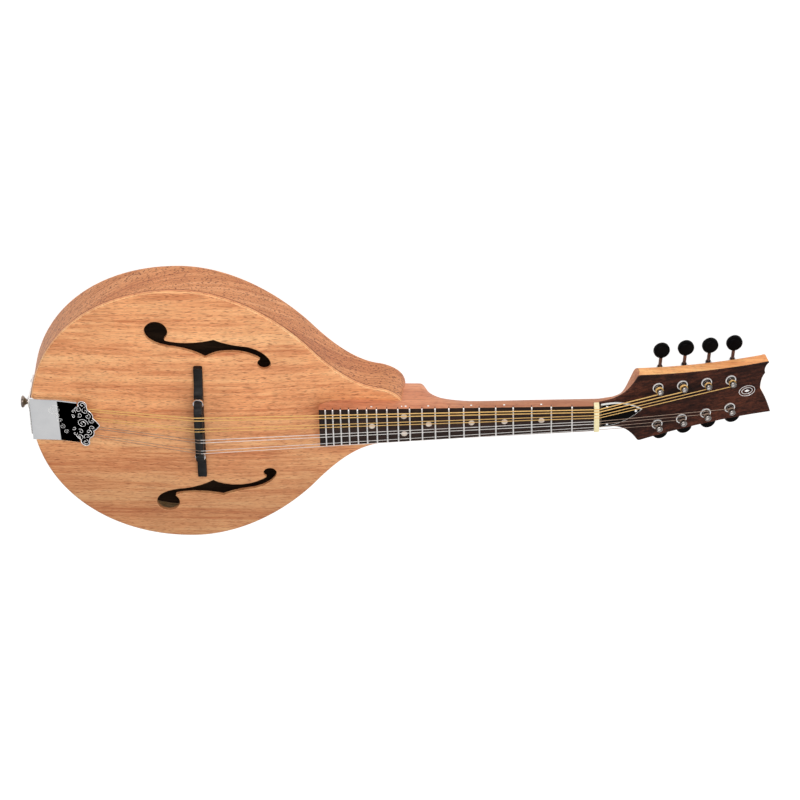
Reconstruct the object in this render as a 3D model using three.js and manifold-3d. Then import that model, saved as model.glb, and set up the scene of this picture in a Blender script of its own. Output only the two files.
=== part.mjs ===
// A-style mandolin with f-holes, lying on its back.
// Frame: origin on the centre line where the scale ends at the bridge, on the outer face of the
// back. +X runs to the headstock, +Y to the bass strings, +Z out of the top. Millimetres.

import * as THREE from 'three';
import { mergeVertices } from 'three/addons/utils/BufferGeometryUtils.js';
import Module from 'manifold-3d';

const wasm = await Module();
wasm.setup();

// ---- Driving dimensions -------------------------------------------------------------------

const SCALE = 350;                 // nut to saddle
const FRETS = 20;
const GAP = 0.3;                   // air between neighbours in turned groups

const TAIL_X = -155.3;             // tail end of the body
const WAIST_X = -18;               // widest station of the body
const HALF_WIDTH = 139.2;
const BODY_END_X = 180.5;          // face the neck heel butts against
const BODY_DEPTH = 40.7;           // back face to the edge of the top
const BACK_THICK = 3;
const TOP_THICK = 3.5;
const RIM_THICK = 2.4;
const LINING_WIDE = 4.4;
const LINING_TALL = 5;
const ARCH = 6.8;                  // rise of the carved top
const ARCH_CENTRE_X = -5;
const ARCH_HALF_LONG = 150;
const RIM_TOP = BODY_DEPTH - TOP_THICK;
const TAIL_BLOCK = { front: -131, half: 28 };
const NECK_BLOCK = { back: 146, half: 21 };

const NECK_TILT = THREE.MathUtils.degToRad(3.2);
const BOARD_NUT_Z = 42.8;          // playing surface at the nut
const BOARD_THICK = 5.5;
const BOARD_END_X = 104.5;
const BOARD_HALF_NUT = 14.2;
const BOARD_HALF_END = 20.65;
const NECK_DEPTH = 21.6;           // playing surface to the back of the neck
const NUT_LONG = 4.8;
const NUT_TOP = 1.2;               // above the playing surface
const ROD_DEPTH = 10;              // truss rod axis below the playing surface
const ROD_R = 2.2;

const HEAD_TILT = THREE.MathUtils.degToRad(15);
const HEAD_X = SCALE + 5;          // where the headstock face starts
const HEAD_Z = 38;
const HEAD_LONG = 158;
const VENEER_THICK = 2;
const HEAD_THICK = 13.5;           // veneer and wood

const POSTS = 4;                   // tuning posts on each side
const POST_FIRST = 54;             // first post, measured along the headstock face
const POST_STEP = 22.77;
const POST_HALF = 20.7;            // first post from the centre line
const POST_LINE = THREE.MathUtils.degToRad(4.2);
const POST_R = 3;
const POST_TOP = 9.5;              // above the face
const GEAR_TEETH = 14;
const GEAR_R = 5;
const WORM_OFFSET = 7;             // worm axis from post axis
const WORM_DEPTH = 20;             // worm axis below the face
const SHAFT_R = 1.6;
const BUTTON_R = 7.4;
const BUTTON_THICK = 6.6;
const BUTTON_OUT = 25.8;           // button centre from post axis

const SADDLE_TOP = 67.2;
const SADDLE_BOTTOM = 61.2;
const SADDLE_WIDE = 7.4;
const BASE_HALF = 61;
const BASE_TOP = 56;
const BRIDGE_WIDE = 8.4;
const BRIDGE_X = -2.5;             // centre of the bridge behind the nominal scale end
const BRIDGE_TURN = THREE.MathUtils.degToRad(-1);  // treble end further back
const WHEEL_Y = 30;
const WHEEL_R = 4.9;
const STUD_R = 1.5;
const CROWN_BASS = [-3.7, 1.2];     // saddle crown under the wound strings, front relieved
const CROWN_TREBLE = [-0.6, 3.7];   // and under the plain strings, back relieved

const BRACKET_HALF = 18.5;
const STRAP_Z = 18;                // strap button above the back
const STRAP_HOLE_R = 3.4;
const HOOK_X = -129;
const HOOK_Z = 43;
const COVER_BACK = { x: -154.5, z: 44.2 };
const COVER_LONG = 43;
const COVER_HALF = 23;
const COVER_SLOPE = Math.atan(0.1);
const STRING_SLOPE = Math.atan(0.2);

// One row per pair, bass to treble: name, radius, and the place of its middle across the bridge.
const COURSES = [
  ['g', 0.48, 18.5],
  ['d', 0.34, 6],
  ['a', 0.2, -6.8],
  ['e', 0.15, -19.1],
];
const PAIR_HALF = 1.6;             // from the middle of a pair to its strings at the bridge
const NUT_PAIR_HALF = 1.45;
const NUT_SPREAD = 0.54;           // spacing of the pairs at the nut over that at the bridge
const TAIL_SPREAD = 0.7;           // and of the strings at the tailpiece hooks

// Every string with its places across the bridge and the nut, bass to treble.
const STRINGS = COURSES.flatMap(([name, radius, middle]) => [1, -1].map((toBass) => ({
  name: `string_${name}_${toBass * middle > 0 ? 'outer' : 'inner'}`,
  radius,
  across: middle + toBass * PAIR_HALF,
  nutY: middle * NUT_SPREAD + toBass * NUT_PAIR_HALF,
})));

// ---- Materials ----------------------------------------------------------------------------

const FINISHES = {
  mahogany: [0xd99a68, 0.55, 0],
  neckWood: [0xbe7d5f, 0.55, 0],
  innerWood: [0xd8b48a, 0.8, 0],
  rosewood: [0x3c231c, 0.5, 0],
  ebony: [0x222222, 0.45, 0],
  bone: [0xf3e6b8, 0.4, 0],
  chrome: [0xdadde0, 0.12, 1],
  steel: [0xb9babd, 0.3, 1],
  bronze: [0xc9a052, 0.35, 1],
  blackMetal: [0x35302e, 0.4, 0.8],
  blackPlastic: [0x151313, 0.35, 0],
};

function finish(name) {
  const [color, roughness, metalness] = FINISHES[name];
  return new THREE.MeshStandardMaterial({ color, roughness, metalness });
}

function part(name, geometry, finishName) {
  const mesh = new THREE.Mesh(geometry, finish(finishName));
  mesh.name = name;
  return mesh;
}

// ---- Solids: join and cut -----------------------------------------------------------------

function solid(geometry) {
  const bare = geometry.clone();
  bare.deleteAttribute('normal');
  bare.deleteAttribute('uv');
  const merged = mergeVertices(bare, 1e-4);
  return new wasm.Manifold(new wasm.Mesh({
    numProp: 3,
    vertProperties: merged.attributes.position.array,
    triVerts: new Uint32Array(merged.index.array),
  }));
}

function geometryOf(manifold) {
  const mesh = manifold.getMesh();
  const geometry = new THREE.BufferGeometry();
  geometry.setAttribute('position', new THREE.BufferAttribute(mesh.vertProperties, 3));
  geometry.setIndex(new THREE.BufferAttribute(mesh.triVerts, 1));
  geometry.computeVertexNormals();
  return geometry;
}

const joined = (...geometries) => geometryOf(geometries.map(solid).reduce((a, b) => a.add(b)));

const cut = (geometry, ...tools) => geometryOf(tools.reduce((a, b) => a.subtract(solid(b)), solid(geometry)));

const common = (a, b) => geometryOf(solid(a).intersect(solid(b)));

// ---- Small shape helpers ------------------------------------------------------------------

function prism(points, low, high) {
  const shape = points instanceof THREE.Shape ? points : new THREE.Shape(points);
  const options = { depth: high - low, bevelEnabled: false, curveSegments: 6 };
  return new THREE.ExtrudeGeometry(shape, options).translate(0, 0, low);
}

// A plate whose outline is drawn in X and Z, centred on the X-Z plane.
function sidePrism(points, wide, y = 0) {
  return prism(points, -wide / 2, wide / 2).rotateX(Math.PI / 2).translate(0, y, 0);
}

function block(lowX, highX, lowY, highY, lowZ, highZ) {
  const box = new THREE.BoxGeometry(highX - lowX, highY - lowY, highZ - lowZ);
  return box.translate((lowX + highX) / 2, (lowY + highY) / 2, (lowZ + highZ) / 2);
}

// A round bar standing on +Z.
function bar(radius, low, high, sides = 12, x = 0, y = 0) {
  const round = new THREE.CylinderGeometry(radius, radius, high - low, sides);
  return round.rotateX(Math.PI / 2).translate(x, y, (low + high) / 2);
}

// A turned piece standing on +Z, from [radius, height] pairs.
function turned(profile, sides = 12) {
  const points = profile.map(([radius, height]) => new THREE.Vector2(radius, height));
  return new THREE.LatheGeometry(points, sides).rotateX(Math.PI / 2);
}

const v2 = (x, y) => new THREE.Vector2(x, y);

const mirrored = (points) => points.map((p) => v2(p.x, -p.y)).reverse();

// ---- Body outline and arch ----------------------------------------------------------------

// Half outline from the tail round the bass side to the neck end, moved inward by `inset`.
function halfOutline(inset) {
  const widest = v2(WAIST_X, HALF_WIDTH);
  const shoulder = v2(97, 77);
  const throat = v2(158.5, 30.8);
  const curves = [
    [10, v2(TAIL_X, 0), v2(TAIL_X, 80), v2(-98, HALF_WIDTH), widest],
    [9, widest, v2(29, HALF_WIDTH), v2(71, 107.5), shoulder],
    [7, shoulder, v2(121, 47), v2(141, 33), throat],
    [4, throat, v2(168, 28.5), v2(BODY_END_X, 22), v2(BODY_END_X, 9)],
  ];
  const points = [];
  for (const [steps, ...corners] of curves) {
    const curve = new THREE.CubicBezierCurve(...corners);
    for (let i = points.length ? 1 : 0; i <= steps; i += 1) {
      const tangent = curve.getTangent(i / steps);
      points.push(curve.getPoint(i / steps).add(v2(tangent.y, -tangent.x).multiplyScalar(inset)));
    }
  }
  return points;
}

function outline(inset) {
  const half = halfOutline(inset);
  return [...half, ...mirrored(half.slice(1))];
}

function ring(outer, inner) {
  const shape = new THREE.Shape(outline(outer));
  shape.holes.push(new THREE.Path(outline(inner).reverse()));
  return shape;
}

// Rise of the carved top above its own edge.
function arch(x, y) {
  const along = (x - ARCH_CENTRE_X) / ARCH_HALF_LONG;
  const across = y / HALF_WIDTH;
  return ARCH * Math.max(0, 1 - along * along - across * across) ** 1.7;
}

// ---- Body ---------------------------------------------------------------------------------

function soundHole(side) {
  const hole = new THREE.Shape();
  hole.moveTo(-30, 89.5);
  hole.absarc(-37.2, 97, 10.4, -0.8, Math.PI * 1.11, false);
  hole.bezierCurveTo(-45, 87, -37.5, 82.8, -25.5, 80.5);
  hole.quadraticCurveTo(-8, 78.5, 5.5, 69.5);
  hole.bezierCurveTo(15, 77, 38, 79, 53.8, 67);
  hole.absarc(57.3, 62.3, 6, Math.PI * 0.7, Math.PI * 2.06, false);
  hole.bezierCurveTo(62.2, 69, 55, 77.5, 42, 80.8);
  hole.quadraticCurveTo(25, 83, 13.7, 88.7);
  hole.bezierCurveTo(5, 86.5, -12, 83, -29.5, 87.8);
  const points = hole.getPoints(6);
  return prism(side > 0 ? points : mirrored(points), 0, BODY_DEPTH + ARCH + 5);
}

// The carved plate: rings of the outline, drawn in towards the centre and lifted by the arch.
function archedPlate() {
  const edge = outline(0);
  const rim = outline(3);
  const shrunk = (share) => rim.map((p) => v2(ARCH_CENTRE_X + (p.x - ARCH_CENTRE_X) * share, p.y * share));
  const inner = [rim, shrunk(0.8), shrunk(0.58), shrunk(0.32)];
  const flat = (points, z) => points.map((p) => [p.x, p.y, z]);
  const domed = (points, z) => points.map((p) => [p.x, p.y, z + arch(p.x, p.y)]);
  const rows = [
    ...inner.map((points) => domed(points, RIM_TOP)).reverse(),
    flat(edge, RIM_TOP),
    flat(edge, BODY_DEPTH - 1.2),
    flat(outline(0.8), BODY_DEPTH - 0.3),
    ...inner.map((points) => domed(points, BODY_DEPTH)),
  ];
  const count = edge.length;
  const positions = rows.flat(2);
  positions.push(ARCH_CENTRE_X, 0, RIM_TOP + ARCH, ARCH_CENTRE_X, 0, BODY_DEPTH + ARCH);
  const bottom = rows.length * count;
  const index = [];
  for (let i = 0; i < count; i += 1) {
    const next = (i + 1) % count;
    index.push(bottom, i, next);
    for (let row = 0; row < rows.length - 1; row += 1) {
      const a = row * count;
      index.push(a + i, a + count + i, a + next);
      index.push(a + next, a + count + i, a + count + next);
    }
    const last = (rows.length - 1) * count;
    index.push(last + i, bottom + 1, last + next);
  }
  const plate = new THREE.BufferGeometry();
  plate.setAttribute('position', new THREE.Float32BufferAttribute(positions, 3));
  plate.setIndex(index);
  return plate;
}

function rim(side) {
  const path = [...halfOutline(0), v2(BODY_END_X, GAP / 2)];
  const inner = [...halfOutline(RIM_THICK), v2(BODY_END_X - RIM_THICK, GAP / 2)].reverse();
  const points = [...path, ...inner].map((p) => v2(p.x, Math.max(p.y, GAP / 2)));
  const wall = prism(side > 0 ? points : mirrored(points), BACK_THICK, RIM_TOP);
  return cut(wall, buttonHole());
}

function buttonHole() {
  return bar(STRAP_HOLE_R, 0, 40).rotateY(-Math.PI / 2).translate(-125, 0, STRAP_Z);
}

function lining(low, high) {
  const strip = prism(ring(RIM_THICK + 0.1, RIM_THICK + LINING_WIDE), low, high);
  const { back, half } = NECK_BLOCK;
  return cut(strip, block(back - GAP, 200, -half - GAP, half + GAP, 0, 50));
}

function tailBlock() {
  const { front, half } = TAIL_BLOCK;
  const inside = prism(outline(RIM_THICK + 0.1), BACK_THICK, RIM_TOP);
  const lump = common(inside, block(TAIL_X, front, -half, half, 0, 50));
  const notch = ring(0, RIM_THICK + LINING_WIDE + GAP);
  const lowNotch = prism(notch, 0, BACK_THICK + LINING_TALL + GAP);
  const highNotch = prism(notch, RIM_TOP - LINING_TALL - GAP, 50);
  return cut(lump, lowNotch, highNotch, buttonHole());
}

function neckBlock() {
  const { back, half } = NECK_BLOCK;
  const inside = prism(outline(RIM_THICK + 0.1), BACK_THICK, RIM_TOP);
  return common(inside, block(back, BODY_END_X, -half, half, 0, 50));
}

function toneBar(side) {
  const y = 18;
  const half = 3.5;
  const low = -108;
  const high = 92;
  const steps = 10;
  const points = [v2(low, RIM_TOP - 2), v2(high, RIM_TOP - 2)];
  for (let i = 0; i <= steps; i += 1) {
    const x = high + (low - high) * (i / steps);
    points.push(v2(x, RIM_TOP + arch(x, y + half) - 1));
  }
  return sidePrism(points, half * 2, side * y);
}

function body() {
  const group = new THREE.Group();
  const plate = cut(archedPlate(), soundHole(1), soundHole(-1));
  group.add(
    part('top_plate', plate, 'mahogany'),
    part('back_plate', prism(outline(0), 0, BACK_THICK), 'mahogany'),
    part('rim_bass', rim(1), 'mahogany'),
    part('rim_treble', rim(-1), 'mahogany'),
    part('tail_block', tailBlock(), 'innerWood'),
    part('neck_block', neckBlock(), 'innerWood'),
    part('top_lining', lining(RIM_TOP - LINING_TALL, RIM_TOP), 'innerWood'),
    part('back_lining', lining(BACK_THICK, BACK_THICK + LINING_TALL), 'innerWood'),
    part('tone_bar_bass', toneBar(1), 'innerWood'),
    part('tone_bar_treble', toneBar(-1), 'innerWood'),
  );
  return group;
}

// ---- Neck ---------------------------------------------------------------------------------

const boardZ = (x) => BOARD_NUT_Z + (SCALE - x) * Math.tan(NECK_TILT);

function boardHalf(x) {
  const share = (SCALE - x) / (SCALE - BOARD_END_X);
  return BOARD_HALF_NUT + (BOARD_HALF_END - BOARD_HALF_NUT) * share;
}

const neckTop = (x) => boardZ(x) - (BOARD_THICK + GAP) / Math.cos(NECK_TILT);

// Turns and moves a geometry drawn in neck coordinates: x from the nut, z from the board.
function inNeck(geometry) {
  return geometry.rotateY(NECK_TILT).translate(SCALE, 0, BOARD_NUT_Z);
}

function inHead(geometry) {
  return geometry.rotateY(HEAD_TILT).translate(HEAD_X, 0, HEAD_Z);
}

// A bar lofted through half-round sections: [x, half width, top z, bottom z, squareness].
function loft(stations) {
  const round = 12;
  const positions = [];
  for (const [x, half, top, bottom, square] of stations) {
    for (let i = 0; i <= round; i += 1) {
      const angle = (Math.PI * i) / round;
      const across = Math.sign(Math.cos(angle)) * Math.abs(Math.cos(angle)) ** (2 / square);
      const down = Math.sin(angle) ** (2 / square);
      const tuck = 1 - 0.18 * down * Math.max(0, square - 2);
      positions.push(x, half * across * tuck, top - (top - bottom) * down);
    }
  }
  const count = round + 1;
  const index = [];
  for (let s = 0; s < stations.length - 1; s += 1) {
    const a = s * count;
    for (let i = 0; i < count; i += 1) {
      const next = (i + 1) % count;
      index.push(a + i, a + count + i, a + next);
      index.push(a + next, a + count + i, a + count + next);
    }
  }
  const last = (stations.length - 1) * count;
  for (let i = 1; i < round; i += 1) {
    index.push(0, i, i + 1);
    index.push(last, last + i + 1, last + i);
  }
  const lofted = new THREE.BufferGeometry();
  lofted.setAttribute('position', new THREE.Float32BufferAttribute(positions, 3));
  lofted.setIndex(index);
  return lofted;
}

function shaftAndHeel() {
  const heel = [
    [BODY_END_X + GAP, -0.4, 3.4],
    [194, -0.4, 3.4],
    [197, 2.5, 3.2],
    [199, 7, 3],
    [202, 13.5, 2.8],
    [207, 19, 2.6],
    [214, 23.5, 2.3],
    [224, 26.6, 2],
  ].map(([x, bottom, square]) => [x, boardHalf(x), neckTop(x), bottom, square]);
  const shaft = [240, 295, SCALE].map((x) => [x, boardHalf(x), neckTop(x), boardZ(x) - NECK_DEPTH, 1.8]);
  const blend = [
    [HEAD_X, BOARD_HALF_NUT, neckTop(HEAD_X), 20.9, 1.9],
    [HEAD_X + 10, BOARD_HALF_NUT, 32, 20.3, 2.1],
    [HEAD_X + 22, BOARD_HALF_NUT, 28, 18.6, 2.3],
  ];
  return loft([...heel, ...shaft, ...blend]);
}

// The wood under the fingerboard where it floats over the top.
function boardSupport() {
  const points = [v2(BOARD_END_X, neckTop(BOARD_END_X)), v2(BOARD_END_X, neckTop(BOARD_END_X) - 2.5)];
  const lifts = [[107, 5.2], [111, 3], [117, 1.1], [124, GAP], [140, GAP], [165, GAP], [182, GAP]];
  for (const [x, lift] of lifts) {
    points.push(v2(x, BODY_DEPTH + arch(x, 0) + lift));
  }
  points.push(v2(182, neckTop(182)));
  return common(sidePrism(points, 60), boardPlan(BOARD_END_X, 182));
}

// Tapered plan of the fingerboard as an upright prism.
function boardPlan(low, high) {
  const points = [
    v2(low, -boardHalf(low)),
    v2(high, -boardHalf(high)),
    v2(high, boardHalf(high)),
    v2(low, boardHalf(low)),
  ];
  return prism(points, 0, 90);
}

// One flank of the headstock from the nut to the corner at its end.
function headFlank(long) {
  const flank = new THREE.Path();
  flank.moveTo(0, BOARD_HALF_NUT - 0.2);
  flank.bezierCurveTo(19, 13.6, 26, 20.5, 33.5, 35);
  flank.quadraticCurveTo(34.8, 36.8, 37, 36.4);
  flank.bezierCurveTo(70, 31, 115, 26.6, long, 28.2);
  return flank;
}

// The bass corner has a notch below it; the treble corner is a longer plain point.
function headOutline() {
  const bass = headFlank(HEAD_LONG);
  bass.quadraticCurveTo(152.6, 23.5, 154.6, 17);
  bass.bezierCurveTo(151.5, 13, 150.4, 8, 150.4, 0);
  const treble = headFlank(HEAD_LONG + 3);
  treble.quadraticCurveTo(156.5, 11, 150.4, 0);
  return [...bass.getPoints(5), ...mirrored(treble.getPoints(5).slice(0, -1))];
}

// Post places and side-group placement on the headstock.
function onTunerSide(geometry, side) {
  return inHead(geometry.rotateZ(-side * POST_LINE).translate(POST_FIRST, side * POST_HALF, 0));
}

function postHoles() {
  const tools = [];
  for (const side of [1, -1]) {
    for (let i = 0; i < POSTS; i += 1) {
      tools.push(onTunerSide(bar(POST_R + 0.4, -30, 20, 12, i * POST_STEP), side));
    }
  }
  return tools;
}

function rodPocket() {
  return inHead(block(-1, 17, -4.6, 4.6, -8.6, 20));
}

function rodSlot() {
  return inNeck(block(-162, 7, -2.8, 2.8, -ROD_DEPTH - 2.8, 0));
}

function neck() {
  const slab = inHead(prism(headOutline(), -HEAD_THICK, -VENEER_THICK - GAP));
  const nutShelf = inNeck(block(-0.5, 5.4, -20, 20, -BOARD_THICK - GAP, 10));
  const underVeneer = inHead(block(0, 60, -40, 40, -VENEER_THICK - GAP, 20));
  const wood = joined(shaftAndHeel(), boardSupport(), slab);
  return cut(wood, nutShelf, underVeneer, rodSlot(), rodPocket(), ...postHoles());
}

function veneer() {
  const sheet = inHead(prism(headOutline(), -VENEER_THICK, 0));
  const nutEnd = inNeck(block(-5, 5.2, -20, 20, -30, 10));
  return cut(sheet, nutEnd, rodPocket(), ...postHoles());
}

// Side profile with the fret wires as ridges, cut to the tapered plan.
function fingerboard() {
  const fretTall = 1;
  const points = [v2(BOARD_END_X - SCALE, -BOARD_THICK), v2(-0.1, -BOARD_THICK), v2(-0.1, 0)];
  for (let n = 1; n <= FRETS; n += 1) {
    const x = SCALE * 2 ** (-n / 12) - SCALE;
    points.push(v2(x + 1, 0), v2(x + 0.5, fretTall), v2(x - 0.5, fretTall), v2(x - 1, 0));
  }
  points.push(v2(BOARD_END_X - SCALE, 0));
  return common(inNeck(sidePrism(points, 60)), boardPlan(BOARD_END_X, SCALE));
}

function rodCover() {
  const half = new THREE.Path();
  half.moveTo(1.2, 12.6);
  half.bezierCurveTo(16, 13.8, 28, 9.6, 39.6, 0);
  const points = half.getPoints(8);
  return inHead(prism([...points, ...mirrored(points.slice(0, -1))], GAP, 2.1));
}

function rodNut() {
  const hexagon = new THREE.Shape();
  const hole = new THREE.Path();
  hole.absarc(0, 0, ROD_R + 0.4, 0, Math.PI * 2, true);
  for (let i = 0; i < 6; i += 1) {
    const angle = (i * Math.PI) / 3;
    const point = [3.5 * Math.cos(angle), 3.5 * Math.sin(angle)];
    if (i === 0) hexagon.moveTo(...point);
    else hexagon.lineTo(...point);
  }
  hexagon.closePath();
  hexagon.holes.push(hole);
  return inNeck(prism(hexagon, 7, 15).rotateY(Math.PI / 2).translate(0, 0, -ROD_DEPTH));
}

function neckAssembly() {
  const group = new THREE.Group();
  const rod = inNeck(bar(ROD_R, -160, 10).rotateY(Math.PI / 2).translate(0, 0, -ROD_DEPTH));
  const nut = inNeck(block(GAP, NUT_LONG, -BOARD_HALF_NUT, BOARD_HALF_NUT, -BOARD_THICK, NUT_TOP));
  group.add(
    part('neck', neck(), 'neckWood'),
    part('headstock_veneer', veneer(), 'rosewood'),
    part('fingerboard', fingerboard(), 'rosewood'),
    part('nut', nut, 'bone'),
    part('truss_rod', rod, 'steel'),
    part('truss_rod_nut', rodNut(), 'steel'),
    part('truss_rod_cover', rodCover(), 'blackPlastic'),
  );
  return group;
}

// ---- Tuners -------------------------------------------------------------------------------

function tunerPlate() {
  const high = -HEAD_THICK - 0.2;
  const low = high - 1.2;
  const tools = [];
  const pieces = [block(-9, 3 * POST_STEP + 16, -7.5, 9, low, high)];
  for (let i = 0; i < POSTS; i += 1) {
    const x = i * POST_STEP + WORM_OFFSET;
    for (const y of [-5.9, 7.1]) {
      pieces.push(block(x - 3, x + 3, y - 0.6, y + 0.6, -WORM_DEPTH - 3, high - 0.5));
    }
    tools.push(bar(SHAFT_R + 0.3, -20, 20, 10).rotateX(Math.PI / 2).translate(x, 0, -WORM_DEPTH));
    tools.push(bar(POST_R + 0.4, -30, 0, 12, i * POST_STEP));
  }
  return cut(joined(...pieces), ...tools);
}

function post() {
  const stem = turned([
    [0, -WORM_DEPTH - 3], [2, -WORM_DEPTH - 3], [POST_R, -WORM_DEPTH - 2], [POST_R, POST_TOP - 2.6],
    [POST_R - 0.5, POST_TOP - 2.2], [POST_R - 0.5, POST_TOP - 1.6], [POST_R, POST_TOP - 1.2],
    [POST_R - 0.6, POST_TOP], [0, POST_TOP],
  ], 10);
  const teeth = [];
  for (let i = 0; i < GEAR_TEETH * 2; i += 1) {
    const angle = (i * Math.PI) / GEAR_TEETH;
    const radius = i % 2 ? GEAR_R - 1.3 : GEAR_R;
    teeth.push(v2(radius * Math.cos(angle), radius * Math.sin(angle)));
  }
  return joined(stem, prism(teeth, -WORM_DEPTH - 2, -WORM_DEPTH + 2));
}

function wormShaft(side) {
  const profile = [
    [0, -7], [SHAFT_R, -7], [SHAFT_R, -4.8], [1.8, -4.8], [1.8, 4.8],
    [SHAFT_R, 4.8], [SHAFT_R, BUTTON_OUT - BUTTON_R - 0.2], [0, BUTTON_OUT - BUTTON_R - 0.2],
  ];
  return turned(profile, 8).rotateX((-side * Math.PI) / 2).translate(WORM_OFFSET, 0, -WORM_DEPTH);
}

function button(side) {
  const half = BUTTON_THICK / 2;
  const profile = [
    [0, -half], [BUTTON_R - 1.6, -half], [BUTTON_R, -half + 1.4], [BUTTON_R, half - 1.4],
    [BUTTON_R - 1.6, half], [0, half],
  ];
  return turned(profile, 14).translate(WORM_OFFSET, side * BUTTON_OUT, -WORM_DEPTH);
}

function tuners() {
  const group = new THREE.Group();
  for (const [name, side] of [['bass', 1], ['treble', -1]]) {
    group.add(part(`tuner_plate_${name}`, onTunerSide(tunerPlate(), side), 'steel'));
    for (let i = 0; i < POSTS; i += 1) {
      const along = (geometry) => onTunerSide(geometry.translate(i * POST_STEP, 0, 0), side);
      const label = `${name}_${i + 1}`;
      group.add(
        part(`tuner_post_${label}`, along(post()), 'chrome'),
        part(`tuner_worm_${label}`, along(wormShaft(side)), 'blackMetal'),
        part(`tuner_button_${label}`, along(button(side)), 'blackPlastic'),
      );
    }
  }
  return group;
}

// ---- Bridge -------------------------------------------------------------------------------

// Turns and moves a geometry drawn with the bridge along Y.
function inBridge(geometry) {
  return geometry.rotateZ(BRIDGE_TURN).translate(BRIDGE_X, 0, 0);
}

function bridgeBase() {
  const points = [];
  const steps = 12;
  for (let i = 0; i <= steps; i += 1) {
    const y = -BASE_HALF + (2 * BASE_HALF * i) / steps;
    points.push(v2(y, BODY_DEPTH + arch(0, y) + GAP));
  }
  const upper = [[BASE_HALF, 50.4], [47, 50.6], [40, 52.4], [36.5, BASE_TOP]];
  for (const [y, z] of upper) points.push(v2(y, z));
  for (const [y, z] of [...upper].reverse()) points.push(v2(-y, z));
  const profile = prism(points, -BRIDGE_WIDE / 2, BRIDGE_WIDE / 2);
  const base = profile.rotateX(Math.PI / 2).rotateZ(Math.PI / 2);
  const holes = [1, -1].map((side) => bar(STUD_R + 0.3, 50.5, 90, 10, 0, side * WHEEL_Y));
  return cut(base, ...holes);
}

// Round ends over the thumbwheels, low pads beside them and a raised crown under the strings.
function bridgeSaddle() {
  const half = SADDLE_WIDE / 2;
  const end = WHEEL_Y + half;
  const padTop = SADDLE_BOTTOM + 3.4;
  const points = [
    v2(-end, SADDLE_BOTTOM), v2(end, SADDLE_BOTTOM), v2(end, padTop), v2(28, padTop), v2(23.5, SADDLE_TOP),
    v2(-23.5, SADDLE_TOP), v2(-28, padTop), v2(-end, padTop),
  ];
  const wedge = prism(points, -half, half).rotateX(Math.PI / 2).rotateZ(Math.PI / 2);
  const plan = new THREE.Shape();
  plan.absarc(0, WHEEL_Y, half, 0, Math.PI, false);
  plan.absarc(0, -WHEEL_Y, half, Math.PI, Math.PI * 2, false);
  const relief = [
    block(-half - 1, CROWN_TREBLE[0], -23, -1.5, SADDLE_TOP - 1.4, SADDLE_TOP + 5),
    block(CROWN_BASS[1], half + 1, 1.5, 23, SADDLE_TOP - 1.4, SADDLE_TOP + 5),
  ];
  const holes = [1, -1].map((side) => bar(STUD_R + 0.4, 50, 64, 10, 0, side * WHEEL_Y));
  return cut(common(wedge, prism(plan, 50, 80)), ...relief, ...holes);
}

function thumbwheel() {
  const low = SADDLE_BOTTOM - 2.9;
  const high = SADDLE_BOTTOM - GAP;
  const bore = STUD_R + 0.35;
  const profile = [
    [bore, low], [WHEEL_R - 0.3, low], [WHEEL_R, low + 0.5], [WHEEL_R, high - 0.5],
    [WHEEL_R - 0.3, high], [bore, high], [bore, low],
  ];
  return turned(profile, 16);
}

function bridge() {
  const group = new THREE.Group();
  group.add(
    part('bridge_base', inBridge(bridgeBase()), 'ebony'),
    part('bridge_saddle', inBridge(bridgeSaddle()), 'ebony'),
  );
  for (const [name, side] of [['bass', 1], ['treble', -1]]) {
    const stud = bar(STUD_R, 50.8, 61.9, 10, 0, side * WHEEL_Y);
    const wheel = thumbwheel().translate(0, side * WHEEL_Y, 0);
    group.add(
      part(`bridge_stud_${name}`, inBridge(stud), 'steel'),
      part(`thumbwheel_${name}`, inBridge(wheel), 'chrome'),
    );
  }
  return group;
}

// ---- Tailpiece ----------------------------------------------------------------------------

function bracket() {
  const out = TAIL_X - 1.5;
  const profile = [
    v2(out, 2), v2(TAIL_X - GAP, 2), v2(TAIL_X - GAP, BODY_DEPTH + GAP), v2(-135, 41.8), v2(-122, 42.6),
    v2(-122, 43.4), v2(-135, 42.6), v2(out + 0.6, BODY_DEPTH + 1.6), v2(out, BODY_DEPTH + 1),
  ];
  const plate = sidePrism(profile, BRACKET_HALF * 2);
  const hooks = STRINGS.map(({ across }) => {
    const y = across * TAIL_SPREAD;
    return block(HOOK_X - 1.6, HOOK_X - 0.6, y - 0.6, y + 0.6, HOOK_Z - 0.4, HOOK_Z + 1.4);
  });
  return cut(joined(plate, ...hooks), buttonHole());
}

// A thin folded sheet: a roof with two side walls, then the fretted crest.
function cover() {
  const wall = 0.9;
  const outer = [v2(0, 0), v2(COVER_LONG, 0), v2(COVER_LONG, -3.6), v2(0, -2.6)];
  const inner = [v2(-1, -wall), v2(COVER_LONG + 1, -wall), v2(COVER_LONG + 1, -9), v2(-1, -9)];
  const shell = cut(sidePrism(outer, COVER_HALF * 2), sidePrism(inner, (COVER_HALF - wall) * 2));
  const roof = shell.rotateY(-COVER_SLOPE).translate(COVER_BACK.x, 0, COVER_BACK.z);
  return joined(roof, crest(wall));
}

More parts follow.
